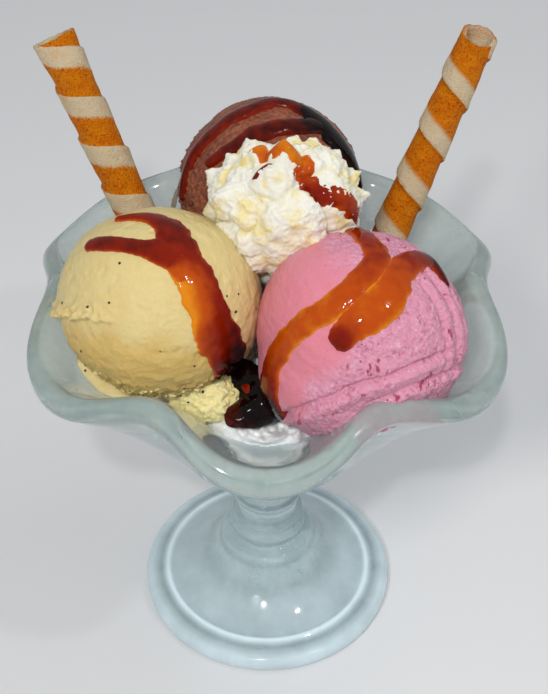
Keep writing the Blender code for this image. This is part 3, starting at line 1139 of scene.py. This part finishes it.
class StrawberryScoop(Mound):
    """Flat crown, smooth left cheek, torn and folded right front."""

    def torn(self, u: np.ndarray) -> np.ndarray:
        """1 where the surface is torn and icy, 0 on the smooth cheek."""
        wobble = 0.16 * cloud(u * 10, 4.0, 2.0) + 0.06 * cloud(u * 10, 1.5, 3.0)
        return ease(0.86, 0.58, u @ np.array([-0.78, -0.36, 0.51]) + wobble)

    def creases(self, u: np.ndarray) -> np.ndarray:
        """Grooves with a raised lip where the scoop has rolled the ice over."""
        p = u * self.radius / MM
        wander = 0.03 * cloud(p, 7.0, 3.0) + 0.008 * cloud(p, 1.8, 4.0)
        front = ease(0.1, -0.3, u[:, 1])
        right = ease(0.25, 0.55, u[:, 0])
        lines = (
            ((0.356, -0.586, -0.728), 0.408, 1.0, front * ease(0.9, 0.6, u[:, 0])),
            ((0.356, -0.586, -0.728), 0.60, 0.7, front * ease(-0.3, 0.2, u[:, 0])),
            ((0.333, 0.846, -0.417), -0.215, 0.9, right * ease(-0.25, 0.1, u[:, 2])),
            ((0.333, 0.846, -0.417), -0.40, 0.7, right * ease(-0.15, 0.2, u[:, 2])),
            ((0.333, 0.846, -0.417), -0.05, 0.6, right * ease(-0.2, 0.1, u[:, 2])),
        )
        out = np.zeros(len(u))
        for normal, level, depth, where in lines:
            away = u @ np.array(normal) - level + wander
            groove = -0.036 * np.exp(-((away / 0.022) ** 2)) + 0.026 * np.exp(-(((away - 0.07) / 0.045) ** 2))
            out += 1.35 * depth * where * groove
        return out

    def reach(self, u: np.ndarray, fine: bool = True) -> np.ndarray:
        """Crown, folds round the cheek, skirt and icy roughness."""
        p = u * self.radius / MM
        x, y, z = u.T
        skirt = ease(0.0, 0.45, -z) * ease(0.4, 0.95, x)
        crown = ease(0.3, 1.0, 0.42 * x + 0.55 * y + 0.72 * z)
        foot = ease(0.55, 0.95, -0.44 * x - 0.60 * y - 0.67 * z)
        out = 1.0 + 0.02 * skirt - 0.06 * crown - 0.03 * ease(0.1, 0.9, -z) + 0.14 * foot
        out += 0.006 * cloud(p, 7.0, 5.0)
        if not fine:
            return out
        away = np.arccos(np.clip(-0.11 * x - 0.82 * y + 0.55 * z, -1.0, 1.0))
        round_ = ease(-0.45, 0.2, x - 0.6 * z) * ease(0.35, 0.6, away)
        fine_folds = np.abs(np.sin(16.0 * away + 2.0 * cloud(p, 8.0, 6.0))) ** 0.7 - 0.7
        torn = self.torn(u)
        pits = (1.0 - curds(p, 1.5, 4.0)) * ease(0.0, 0.3, cloud(p, 5.0, 9.0))
        rough = 0.008 * cloud(p, 1.5, 7.0, 4) - 0.016 * pits
        cheek = 0.006 * cloud(p * np.array([1.0, 1.0, 2.6]), 3.5, 4.0, 4)
        return out + self.creases(u) + round_ * 0.008 * fine_folds + torn * rough + cheek

    def notes(self, obj: bpy.types.Object, u: np.ndarray) -> None:
        """Mark where the surface is torn."""
        Bench.store(obj, "torn", self.torn(u))


class ChocolateScoop(Mound):
    """Pored dome with grooves along the scoop's sweep."""

    def reach(self, u: np.ndarray, fine: bool = True) -> np.ndarray:
        """Dome, grooves and pores."""
        p = u * self.radius / MM
        if not fine:
            return np.ones(len(u))
        sweep = np.sin(11.0 * (u[:, 2] + 0.25 * u[:, 0]) + cloud(p, 8.0, 2.0))
        patchy = 0.35 + 0.65 * ease(-0.25, 0.25, cloud(p, 5.0, 6.0))
        pores = 0.009 * cloud(p, 1.5, 3.0, 4) - 0.014 * (1.0 - curds(p, 1.6, 7.0)) * patchy
        torn = 0.03 * ease(0.1, 0.5, -u[:, 0] - 0.8 * u[:, 2]) * cloud(p, 2.2, 3.0, 3)
        return 1.0 + 0.008 * sweep * ease(-0.3, 0.3, u[:, 2]) + pores + torn


@dataclass(frozen=True)
class Tuft:
    """Torn peak of cream: direction, height and base width in millimetres."""

    turn: float
    rise: float
    height: float
    width: float


@dataclass
class WhippedCream(Mound):
    """Spooned whipped cream: curds, folds and torn peaks."""

    tufts: tuple[Tuft, ...] = ()
    petals: int = 27

    def lumps(self, u: np.ndarray) -> tuple[np.ndarray, np.ndarray]:
        """Overlapping domes with creases where they meet.

        Args:
            u: Unit directions, one row each.

        Returns:
            Height of the domes, and how deep in a crease each place is.
        """
        first = np.full(len(u), -1.0)
        second = np.full(len(u), -1.0)
        for k in range(self.petals):
            z = 1.0 - 2.0 * (k + 0.5) / self.petals
            turn = k * GOLDEN_ANGLE + 0.5 * math.sin(k * 1.7)
            flat = math.sqrt(1.0 - z * z)
            mid = np.array([flat * math.cos(turn), flat * math.sin(turn), z])
            lean = np.array([math.sin(k * 2.1), math.cos(k * 3.3), math.sin(k * 0.9)])
            away = np.sqrt(np.maximum(2.0 - 2.0 * u @ mid, 0.0))
            size = 0.42 + 0.14 * math.sin(k * 5.1)
            dome = 0.07 + 0.06 * math.sin(k * 2.7) - 0.17 * (away / size) ** 2 + 0.36 * (u - mid) @ lean
            second = np.maximum(second, np.minimum(first, dome))
            first = np.maximum(first, dome)
        return first, ease(0.05, 0.0, first - second)

    def warp(self, u: np.ndarray) -> np.ndarray:
        """Directions pushed about, so that no dome stays round."""
        p = u * self.radius / MM
        push = np.stack([cloud(p, 5.0, 1.0), cloud(p, 5.0, 2.0), cloud(p, 5.0, 3.0)], axis=1)
        fine = np.stack([cloud(p, 1.8, 4.0), cloud(p, 1.8, 5.0), cloud(p, 1.8, 6.0)], axis=1)
        out = u + 0.15 * push + 0.035 * fine
        return out / np.linalg.norm(out, axis=1)[:, None]

    def reach(self, u: np.ndarray, fine: bool = True) -> np.ndarray:
        """Heap of domes, torn peaks and ragged edges."""
        p = u * self.radius / MM
        domes, crease = self.lumps(self.warp(u))
        out = 0.90 + domes - 0.03 * crease
        for tuft in self.tufts:
            away = np.sqrt(np.maximum(2.0 - 2.0 * u @ np.array(heading(tuft.turn, tuft.rise)), 0.0))
            share = np.clip(1.0 - away * self.radius / MM / tuft.width, 0.0, 1.0)
            out = np.maximum(
                out, 0.91 + (tuft.height / (self.radius / MM) + 0.06) * share**1.25 - 0.1 * (share <= 0)
            )
        if not fine:
            return out - 0.02
        ridge = 1.0 - 2.0 * np.abs(cloud(p, 3.6, 8.0, 2))
        teeth = ease(0.86, 1.1, out) * (0.035 * np.abs(cloud(p, 1.3, 2.0, 2)) - 0.01)
        return out + 0.026 * ridge + 0.014 * cloud(p, 1.1, 5.0, 2) + teeth

    def notes(self, obj: bpy.types.Object, u: np.ndarray) -> None:
        """Mark the hollows between the domes."""
        _, crease = self.lumps(self.warp(u))
        Bench.store(obj, "hollow", np.clip(crease * 0.8, 0, 1))


@dataclass
class BaseCream:
    """Cream that fills the bottom of the bowl right to its wall."""

    level: float = 92.4 * MM
    into_wall: float = 0.25 * MM
    around: int = 320
    below: int = 46
    above: int = 70
    # Bluish white brighter than the whipped cream's: painted light that makes up for the glass's shade; the
    # second colour is painted shade.
    finish: SoftCream = field(
        default_factory=lambda: SoftCream("base_cream", (0.97, 0.99, 1.0), (0.93, 0.92, 0.84), 0.35)
    )

    @staticmethod
    def bumps(places: np.ndarray) -> np.ndarray:
        """Height of the torn surface, in millimetres."""
        broad = 1.3 * cloud(places, 5.5, 2.0, 2) + 2.0 * curds(places, 3.4, 1.0) - 1.2
        return broad + 0.9 * cloud(places, 1.5, 3.0, 3) + 0.5 * curds(places, 1.4, 4.0)

    def build(self, glass: GlassShape) -> bpy.types.Object:
        """Shape, dress and place the cream."""
        steps = self.below + self.above
        obj = Bench.ball("base_cream_fill", self.around, steps)
        globe = Bench.points(obj)
        row = np.rint(np.arccos(np.clip(globe[:, 2], -1, 1)) * steps / math.pi)
        turn = np.arctan2(globe[:, 1], globe[:, 0])
        floor = glass.floor - self.into_wall
        rise = np.clip((row - self.above) / self.below, 0.0, 1.0)
        at_wall = np.stack([np.cos(turn) * 35.0, np.sin(turn) * 35.0, turn * 0 + self.level / MM], axis=1)
        edge = self.bumps(at_wall)
        level = self.level + edge * MM
        height = level - (level - floor) * rise**1.4
        out = np.stack([np.cos(turn), np.sin(turn), height], axis=1)
        radius = glass.inside_radius(out) + self.into_wall
        radius = np.where(height <= floor + 1e-6, 0.0, radius)
        share = np.clip(row / self.above, 0.0, 1.0)
        out[:, 0] *= radius * share
        out[:, 1] *= radius * share
        p = out / MM
        top = row < self.above
        bumps = self.bumps(p)
        near = ease(0.86, 1.0, share)
        crown = 2.6 * ease(1.0, 0.35, share) + 2.6 * np.exp(
            -((p[:, 0] + 2.0) ** 2 + (p[:, 1] + 31.0) ** 2) / 110.0
        )
        crown *= ease(1.0, 0.9, share)
        out[:, 2] = np.where(top, self.level + (crown + bumps * (1.0 - near) + edge * near) * MM, out[:, 2])
        wall = (
            (glass.inside_radius(out) + self.into_wall)
            * share
            / np.maximum(np.hypot(out[:, 0], out[:, 1]), 1e-9)
        )
        grow = np.where(top, np.maximum(wall, 1.0), 1.0)
        out[:, 0] *= grow
        out[:, 1] *= grow
        Bench.move(obj, out)
        # Darker tint in the hollows of the top and all over the side and underside: painted shade.
        Bench.store(obj, "hollow", np.where(top, np.clip(0.6 - bumps, 0, 1), 1.0))
        Bench.smooth(obj)
        obj.data.materials.append(self.finish.make())
        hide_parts("base_cream")
        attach(obj, "root")
        return obj


@dataclass(frozen=True)
class Bead:
    """Step of a spill: place and radius in millimetres, and depth of colour."""

    x: float
    y: float
    z: float
    radius: float
    depth: float = 1.0


@dataclass
class Spill:
    """Runny patch: flattened beads in a row, melted into one body."""

    name: str
    beads: tuple[Bead, ...]
    facing: Vector
    flat: float = 0.5
    finish: Any = field(default_factory=CaramelSauce)
    voxel: float = 0.35 * MM
    attribute: str = "depth"

    def build(self, glass: GlassShape) -> bpy.types.Object:
        """Lay the beads, melt them together, dress and place the spill.

        Args:
            glass: Glass that holds it.

        Returns:
            The new object.
        """
        turn = np.array(self.facing.to_track_quat("Z", "Y").to_matrix())
        steps: list[Bead] = []
        for a, b in zip(self.beads, self.beads[1:]):
            for t in (0.0, 0.25, 0.5, 0.75):
                mix = [u + (v - u) * t for u, v in zip(vars(a).values(), vars(b).values())]
                steps.append(Bead(*mix))
        steps.append(self.beads[-1])
        made = []
        for k, bead in enumerate(steps):
            obj = Bench.fine_ball(f"{self.name}_{k}", 3)
            u = Bench.points(obj)
            swell = 1.0 + 0.22 * cloud(u * 10, 9.0, float(k))
            local = u * np.array([bead.radius, bead.radius, bead.radius * self.flat]) * swell[:, None]
            Bench.move(obj, (np.array([bead.x, bead.y, bead.z]) + local @ turn.T) * MM)
            made.append(obj)
        spill = Bench.join(made, self.name)
        melt = spill.modifiers.new("melt", "REMESH")
        melt.mode = "VOXEL"
        melt.voxel_size = self.voxel
        bpy.ops.object.modifier_apply(modifier=melt.name)
        calm = spill.modifiers.new("calm", "SMOOTH")
        calm.factor = 0.6
        calm.iterations = 8
        bpy.ops.object.modifier_apply(modifier=calm.name)
        places = Bench.points(spill)
        Bench.move(spill, glass.hold_in(places, 0.04 * MM))
        mids = np.array([[b.x, b.y, b.z] for b in steps]) * MM
        apart = np.linalg.norm(places[:, None, :] - mids[None], axis=2)
        weight = 1.0 / (apart / MM + 0.2) ** 4
        level = (weight * np.array([b.depth for b in steps])).sum(axis=1) / weight.sum(axis=1)
        Bench.store(spill, self.attribute, level)
        Bench.smooth(spill)
        spill.data.materials.clear()
        spill.data.materials.append(self.finish.make())
        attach(spill, "root")
        return spill


@dataclass
class Crumbs:
    """Small broken bits that stick to a mound."""

    name: str
    mound: Mound
    turns: tuple[float, float]
    rises: tuple[float, float]
    count: int
    size: tuple[float, float]
    finish: Any
    attribute: str = "low"

    def build(self) -> bpy.types.Object:
        """Shape, join, dress and place the crumbs."""
        made = []
        for k in range(self.count):
            share = (k * SPREAD_FACTORS[0]) % 1.0
            other = (k * SPREAD_FACTORS[1] + 0.3) % 1.0
            small = (k * SPREAD_FACTORS[2] + 0.1) % 1.0
            turn = self.turns[0] + (self.turns[1] - self.turns[0]) * share
            rise = self.rises[0] + (self.rises[1] - self.rises[0]) * other
            radius = (self.size[0] + (self.size[1] - self.size[0]) * small**2) * MM
            way = np.array([tuple(heading(turn, rise))])
            reach = self.mound.reach(way)[0] * self.mound.radius
            obj = Bench.fine_ball(f"{self.name}_{k}", 2)
            u = Bench.points(obj)
            swell = 1.0 + 0.9 * cloud(u * 10, 8.0, float(k)) + 0.5 * cloud(u * 10, 4.0, float(k))
            squash = np.array([1.0, 0.75 + 0.3 * share, 0.7 + 0.3 * other])
            middle = np.array(self.mound.centre) + way[0] * (reach - 0.4 * radius)
            Bench.move(obj, middle + u * squash * radius * swell[:, None])
            made.append(obj)
        obj = Bench.join(made, self.name)
        Bench.store(obj, self.attribute, np.full(len(obj.data.vertices), 0.3))
        Bench.smooth(obj)
        obj.data.materials.clear()
        obj.data.materials.append(self.finish)
        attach(obj, "root")
        return obj


@dataclass
class VanillaLump:
    """Crumbly lump broken off the vanilla scoop."""

    centre: Vector = Vector((-14.6, -24.9, 98.6)) * MM
    half: Vector = Vector((8.9, 6.2, 7.2)) * MM

    def build(self) -> bpy.types.Object:
        """Shape, dress and place the lump."""
        obj = Bench.fine_ball("crumbly_lump", 6)
        u = Bench.points(obj)
        p = u * 6.0
        swell = 1.0 + 0.26 * cloud(p, 5.5, 3.0) + 0.13 * cloud(p, 2.4, 6.0, 3) + 0.10 * curds(p, 2.2, 2.0)
        Bench.move(obj, np.array(self.centre) + u * np.array(self.half) * swell[:, None])
        Bench.store(obj, "low", 0.15 + 0.3 * cloud(p, 3.0, 8.0))
        Bench.smooth(obj)
        # Paler, brighter copy of the vanilla colours: painted light that lifts the lump out of the shade
        # where it sits.
        obj.data.materials.append(
            VanillaIce("vanilla_crumbly", (1.0, 0.86, 0.42), (0.92, 0.72, 0.28), crumbly=0.5).make()
        )
        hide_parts("vanilla_lump")
        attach(obj, "root")
        return obj


class Wrap(Enum):
    """Way the wafer's strip winds when seen from above."""

    LEFT_HAND = 1
    RIGHT_HAND = -1


@dataclass
class RolledWafer:
    """Thin wafer strip wound into an open tube."""

    name: str
    node: str
    top: Vector
    axis: Vector
    radius: float
    length: float
    wrap: Wrap
    start: float
    pitch: float
    finish: BakedWafer
    grows: bool = False
    flare: float = 0.0
    pinch: float = 0.0
    slant: float = 0.0
    front: float = 0.0
    wall: float = 1.3 * MM
    ledge: float = 0.75 * MM
    around: int = 72
    along: int = 190

    def build(self) -> bpy.types.Object:
        """Shape, dress and place the wafer."""
        rim = 6
        loop = 2 * self.along + 2 * rim
        Bench.deselect()
        bpy.ops.mesh.primitive_torus_add(
            major_segments=self.around, minor_segments=loop, major_radius=2.0, minor_radius=1.0
        )
        obj = Bench.named(self.name)
        ring = Bench.points(obj)
        angle = np.arctan2(ring[:, 1], ring[:, 0])
        minor = np.arctan2(ring[:, 2], np.hypot(ring[:, 0], ring[:, 1]) - 2.0)
        step = (np.rint(-minor * loop / (2 * math.pi)).astype(int)) % loop
        outer = np.clip(step, 0, self.along)
        lower = np.clip(step - self.along, 0, rim) / rim
        upper = np.clip(step - 2 * self.along - rim, 0, rim) / rim
        back = np.clip(step - self.along - rim, 0, self.along)
        drop = np.where(step <= self.along + rim, outer, self.along - back) * self.length / self.along
        inward = np.where(step <= self.along + rim, lower, 1.0 - upper)
        turns = drop / self.pitch + self.wrap.value * angle / (2 * math.pi) + self.start
        turns = np.maximum(turns, 0.02) if self.grows else turns
        phase = turns % 1.0
        tube = np.stack([np.cos(angle) * self.radius, np.sin(angle) * self.radius, -drop], axis=1) / MM
        fall = (1.0 - phase) * ease(0.0, 0.05, phase) if self.grows else phase * ease(1.0, 0.95, phase)
        edge = self.radius - self.ledge * fall
        rough = 0.16 * cloud(tube, 3.0, self.start + 2) + 0.06 * cloud(tube, 0.9, 4.0)
        edge = edge + rough * MM + self.flare * ease(10 * MM, 0.0, drop)
        torn = np.stack([np.cos(angle), np.sin(angle), angle * 0], axis=1) * 3.0
        lip = (
            ease(3 * MM, 0.0, drop)
            * (0.4 * cloud(torn, 2.0, self.start) + 0.3 * cloud(torn, 0.7, 1.0))
            * MM
        )
        lip -= self.slant * np.cos(angle - math.radians(self.front)) * ease(10 * MM, 0.0, drop)
        wide = edge - inward * self.wall
        press = 1.0 - self.pinch * ease(9 * MM, 0.0, drop)
        toward = np.sin(angle) * 0.84 + np.cos(angle) * 0.54
        across = np.cos(angle) * 0.84 - np.sin(angle) * 0.54
        x = (across * 0.84 + toward * press * 0.54) * wide
        y = (toward * press * 0.84 - across * 0.54) * wide
        local = np.stack([x, y, -drop + lip], axis=1)
        turn = np.array(self.axis.to_track_quat("Z", "Y").to_matrix())
        Bench.move(obj, np.array(self.top) + local @ turn.T)
        Bench.store(obj, "wrap_a", np.cos(2 * math.pi * turns))
        Bench.store(obj, "wrap_b", np.sin(2 * math.pi * turns))
        Bench.store(obj, "inside", inward)
        Bench.pick(obj)
        bpy.ops.object.mode_set(mode="EDIT")
        bpy.ops.mesh.select_all(action="SELECT")
        bpy.ops.mesh.normals_make_consistent(inside=False)
        bpy.ops.object.mode_set(mode="OBJECT")
        Bench.smooth(obj)
        obj.data.materials.append(self.finish.make())
        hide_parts(self.node)
        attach(obj, "root")
        return obj


# ------------------------------------------------------------------ stage


@dataclass
class Studio:
    """Pale floor, soft lights and the camera."""

    floor_color: Color = (0.80, 0.80, 0.81)
    eye: Vector = Vector((0.0, -284.6, 348.1)) * MM
    pitch: float = 48.0
    lens: float = 76.51
    shift: float = 0.0097

    def camera(self) -> None:
        """Place the camera above the front of the glass."""
        bpy.ops.object.camera_add(location=self.eye, rotation=(math.radians(self.pitch), 0.0, 0.0))
        cam = bpy.context.object
        cam.data.lens = self.lens
        cam.data.sensor_width = 36.0
        cam.data.shift_x = self.shift
        cam.data.clip_start = 0.01
        bpy.context.scene.camera = cam

    def lamp(
        self, name: str, place: Vector, aim: Vector, size: float, power: float, color: Color
    ) -> bpy.types.Object:
        """Add one soft light.

        Args:
            name: Name of the light.
            place: Where it hangs.
            aim: Point that it faces.
            size: Width of its disc.
            power: Watts.
            color: Its colour.

        Returns:
            The light.
        """
        bpy.ops.object.light_add(type="AREA", location=place)
        light = bpy.context.object
        light.name = name
        light.rotation_euler = (place - aim).to_track_quat("Z", "Y").to_euler()
        light.data.shape = "DISK"
        light.data.size = size
        light.data.energy = power
        light.data.color = color
        return light

    def build(self) -> None:
        """Lay the floor and hang the lights."""
        Bench.deselect()
        bpy.ops.mesh.primitive_plane_add(size=3.0, location=(0.0, 0.0, -0.0002))
        floor = Bench.named("pale_floor")
        p = Palette("pale_floor")
        p.set(Base_Color=self.floor_color, Roughness=0.7)
        floor.data.materials.append(p.material)
        world = bpy.context.scene.world or bpy.data.worlds.new("studio")
        bpy.context.scene.world = world
        world.use_nodes = True
        back = world.node_tree.nodes["Background"]
        back.inputs["Color"].default_value = (0.94, 0.97, 1.0, 1.0)
        back.inputs["Strength"].default_value = 0.41
        bpy.context.scene.view_settings.view_transform = "Standard"
        aim = Vector((0.0, 0.0, 0.1))
        self.lamp(
            "key", Vector((-0.20, -0.52, 0.66)), aim, 0.14, 2.1, (1.0, 0.98, 0.95)
        ).visible_glossy = False
        self.lamp("fill", Vector((0.40, 0.10, 0.85)), aim, 0.5, 1.1, (0.96, 0.98, 1.0)).visible_glossy = False
        self.lamp("glint", Vector((-0.05, -0.45, 0.62)), aim, 0.03, 0.95, (1.0, 1.0, 1.0))
        self.lamp("side_glint", Vector((0.30, -0.25, 0.60)), aim, 0.03, 0.4, (1.0, 1.0, 1.0))


# ------------------------------------------------------------------- main


def vanilla() -> VanillaScoop:
    """Vanilla scoop and the two streams that meet on its right."""
    main = Stream((
        Waypoint(150, 66, 2.6, 0.62), Waypoint(122, 81, 4.6, 0.70), Waypoint(-3, 84, 6.6, 0.76),
        Waypoint(-45, 72, 8.8, 0.76), Waypoint(-52, 60, 9.4, 0.56, 0.26), Waypoint(-53, 47, 9.6, 0.36, 0.40),
        Waypoint(-54, 33, 9.6, 0.42, 0.38), Waypoint(-53, 20, 10.8, 0.66, 0.24),
        Waypoint(-50, 9, 11.2, 0.74, 0.18),
        Waypoint(-46, -4, 10.4, 0.96, 0.12), Waypoint(-42, -18, 9.6, 1.2), Waypoint(-38, -32, 8.6, 1.3),
    ))
    branch = Stream((
        Waypoint(-173, 53, 3.8, 0.72), Waypoint(-160, 62, 4.6, 0.78), Waypoint(-136, 69, 3.9, 0.74),
        Waypoint(-108, 71, 4.6, 0.74), Waypoint(-84, 70, 6.4, 0.74), Waypoint(-62, 64, 7.6, 0.66),
        Waypoint(-60, 54, 6.0, 0.34),
    ))
    centre = Vector((-26.1, -10.6, 115.1)) * MM
    return VanillaScoop(
        "vanilla_ice_scoop", "vanilla_scoop", "vanilla", centre, 25.1 * MM, VanillaIce(), (main, branch)
    )


def strawberry() -> StrawberryScoop:
    """Strawberry scoop, its long stream and the broad one beside it."""
    long = Stream((
        Waypoint(98, 60, 5.6, 0.66), Waypoint(88, 75, 5.8, 0.62), Waypoint(-35, 83, 6.4, 0.56),
        Waypoint(-90, 73, 6.0, 0.48), Waypoint(-106, 64, 6.0, 0.42), Waypoint(-116, 54, 6.4, 0.34),
        Waypoint(-127, 44, 6.0, 0.28), Waypoint(-136, 34, 5.8, 0.28), Waypoint(-142, 21, 5.8, 0.36),
        Waypoint(-146, 7, 6.2, 0.5), Waypoint(-146, -6, 7.0, 0.68), Waypoint(-146, -18, 8.4, 1.0),
        Waypoint(-148, -30, 9.6, 1.2), Waypoint(-153, -42, 9.0, 1.3),
    ))
    broad = Stream((
        Waypoint(-4, 40, 2.6, 0.9), Waypoint(16, 47, 5.2, 0.85), Waypoint(2, 62, 6.6, 0.62),
        Waypoint(-37, 67, 7.4, 0.44), Waypoint(-62, 61, 8.0, 0.36), Waypoint(-78, 55, 9.0, 0.28),
        Waypoint(-92, 49, 9.2, 0.32), Waypoint(-102, 42, 7.6, 0.48), Waypoint(-108, 35, 5.2, 0.76),
    ))
    centre = Vector((22.6, -19.8, 115.1)) * MM
    return StrawberryScoop(
        "strawberry_ice_scoop", "strawberry_scoop", "strawberry", centre, 25.1 * MM, StrawberryIce(),
        (long, broad),
    )


def chocolate() -> ChocolateScoop:
    """Chocolate scoop and the two arcs of sauce over its top."""
    outer = Stream((
        Waypoint(-162, 8, 3.4, 0.80), Waypoint(-166, 23, 3.6, 0.80), Waypoint(-170, 36, 4.0, 0.80),
        Waypoint(-171, 51, 4.6, 0.78), Waypoint(179, 66, 5.2, 0.80), Waypoint(149, 78, 5.0, 0.82),
        Waypoint(78, 76, 4.4, 0.82), Waypoint(35, 70, 5.2, 0.85), Waypoint(9, 61, 6.6, 1.1),
        Waypoint(-5, 49, 7.8, 1.2), Waypoint(-8, 36, 7.5, 1.2), Waypoint(-10, 24, 5.0, 1.1),
        Waypoint(-12, 12, 3.0, 1.0),
    ))
    inner = Stream((
        Waypoint(-146, 40, 2.4, 0.80), Waypoint(-132, 57, 4.0, 0.80), Waypoint(-116, 68, 5.4, 0.82),
        Waypoint(-70, 75, 5.2, 0.82), Waypoint(-27, 69, 4.6, 0.9), Waypoint(-8, 60, 4.6, 0.95),
    ))
    centre = Vector((0.7, 31.0, 119.7)) * MM
    return ChocolateScoop(
        "chocolate_ice_scoop", "chocolate_scoop", "chocolate", centre, 23.9 * MM, ChocolateIce(),
        (outer, inner),
        thin_edge=0.12,
    )


def whipped() -> WhippedCream:
    """Whipped cream with torn peaks and sauce down its right side."""
    run = Stream((
        Waypoint(165, 72, 4.4, 0.12), Waypoint(-150, 76, 5.2, 0.3), Waypoint(-60, 80, 4.6, 0.15),
        Waypoint(-40, 71, 6.4, 0.25), Waypoint(-52, 61, 6.0, 0.45), Waypoint(-54, 50, 7.0, 0.62),
        Waypoint(-50, 40, 7.4, 0.7), Waypoint(-38, 33, 6.8, 0.5), Waypoint(-30, 22, 6.2, 0.6),
        Waypoint(-22, 7, 6.0, 0.66), Waypoint(-22, -9, 5.0, 0.6),
    ), 0.8)
    dab = Stream((Waypoint(-118, 70, 1.8, 0.7), Waypoint(-128, 56, 2.2, 0.8)), 0.8)
    tufts = (
        Tuft(128, 50, 2.6, 6.5), Tuft(-86, 82, 5.2, 5.6), Tuft(74, 60, 2.0, 6.0), Tuft(50, 55, 2.6, 6.0),
        Tuft(30, 44, 2.8, 5.5), Tuft(14, 28, 3.2, 5.0), Tuft(4, 14, 2.8, 4.6), Tuft(164, 28, 2.6, 5.5),
        Tuft(149, 40, 2.0, 5.0), Tuft(-143, -8, 2.5, 6.0), Tuft(-118, -18, 3.0, 6.0),
        Tuft(-75, -12, 3.0, 6.0),
        Tuft(-68, 6, 2.5, 5.0), Tuft(-33, 0, 3.0, 5.0), Tuft(-84, -26, 3.5, 6.0), Tuft(-110, 62, 2.4, 6.0),
        Tuft(-150, 30, 2.5, 6.0),
    )
    return WhippedCream(
        "whipped_cream_heap", "whipped_cream", "whipped_cream", Vector((3.6, 3.2, 132.4)) * MM, 19.5 * MM,
        SoftCream(), (run, dab), Vector((1.0, 0.76, 0.97)), tufts=tufts,
    )


def main() -> None:
    """Build the sundae piece by piece and report each one."""
    logging.basicConfig(level=logging.INFO, format="%(message)s")
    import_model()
    Bench.deselect()
    studio = Studio()
    studio.camera()
    studio.build()
    shape = GlassShape()
    glass = FootedGlass(shape).build()
    LOG.info("glass: %d faces", len(glass.data.polygons))
    fill = BaseCream().build(shape)
    LOG.info("cream in the bowl: %d faces", len(fill.data.polygons))
    mounds = (vanilla(), strawberry(), chocolate(), whipped())
    for mound in mounds:
        obj = mound.build(shape)
        LOG.info("%s: %d faces", obj.name, len(obj.data.polygons))
    crumbs = (
        Crumbs("vanilla_crumbs", mounds[0], (-132.0, -62.0), (-12.0, -34.0), 40, (0.4, 1.2),
               VanillaIce("vanilla_crumb", (0.88, 0.74, 0.36), (0.80, 0.60, 0.22), crumbly=0.4).make()),
        Crumbs("chocolate_crumbs", mounds[2], (-172.0, -128.0), (-16.0, 10.0), 50, (0.35, 1.2),
               ChocolateIce("chocolate_crumb").make()),
    )
    for crumb in crumbs:
        obj = crumb.build()
        LOG.info("%s: %d faces", obj.name, len(obj.data.polygons))
    lump = VanillaLump().build()
    LOG.info("%s: %d faces", lump.name, len(lump.data.polygons))
    up_front = Vector((0.0, -0.6, 0.8))
    spills = (
        Spill("sauce_pool", (
            Bead(-9.4, -20.6, 104.4, 3.4), Bead(-6.2, -22.8, 102.9, 4.3), Bead(-2.6, -25.4, 101.8, 4.8),
            Bead(0.4, -28.0, 100.7, 4.9), Bead(-1.4, -30.0, 99.2, 4.6), Bead(-5.0, -31.0, 98.2, 3.8),
            Bead(-7.8, -31.4, 97.5, 2.9, 0.82),
        ), up_front, 0.6),
        Spill("sauce_window", (
            Bead(-5.6, -26.4, 103.2, 1.1, 0.74), Bead(-4.0, -27.4, 103.0, 1.8, 0.62),
            Bead(-1.7, -28.7, 102.6, 1.2, 0.70), Bead(-0.9, -27.8, 103.0, 0.7, 0.8),
        ), up_front, 0.36),
        Spill("amber_drip", (
            Bead(-25.8, 38.6, 107.0, 0.8, 0.3), Bead(-25.4, 41.4, 108.6, 0.9, 0.15),
            Bead(-24.9, 43.6, 110.0, 0.7, 0.1),
        ), up_front, 0.8),
        Spill("melted_vanilla", (
            Bead(-47.5, -12.5, 104.0, 1.6, 0.2), Bead(-44.5, -18.5, 102.5, 2.6, 0.2),
            Bead(-40.0, -24.0, 100.0, 2.6, 0.2),
            Bead(-34.0, -26.5, 98.5, 2.0, 0.2),
        ), up_front, 0.5, VanillaIce("vanilla_melted", (0.80, 0.68, 0.34), (0.74, 0.57, 0.20)),
            attribute="low"),
    )
    for spill in spills:
        obj = spill.build(shape)
        LOG.info("%s: %d faces", obj.name, len(obj.data.polygons))
    left = RolledWafer(
        "left_wafer_roll", "wafer_left", Vector((-53.4, 41.8, 158.5)) * MM,
        Vector((-0.388, 0.349, 0.849)).normalized(), 5.45 * MM, 70.0 * MM, Wrap.RIGHT_HAND, 0.011, 13.63 * MM,
        BakedWafer("left_wafer"), flare=0.5 * MM, pinch=0.35, slant=0.2 * MM, front=57.0,
    ).build()
    right = RolledWafer(
        "right_wafer_roll", "wafer_right", Vector((52.8, 40.5, 159.8)) * MM,
        Vector((0.379, 0.354, 0.855)).normalized(), 5.1 * MM, 73.0 * MM, Wrap.RIGHT_HAND, 0.278, 13.85 * MM,
        BakedWafer("right_wafer", 0.0, 0.72, 0.012, 0.13), grows=True, slant=2.1 * MM, front=122.2,
    ).build()
    for wafer in (left, right):
        LOG.info("%s: %d faces", wafer.name, len(wafer.data.polygons))
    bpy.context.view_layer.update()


if __name__ == "__main__":
    main()
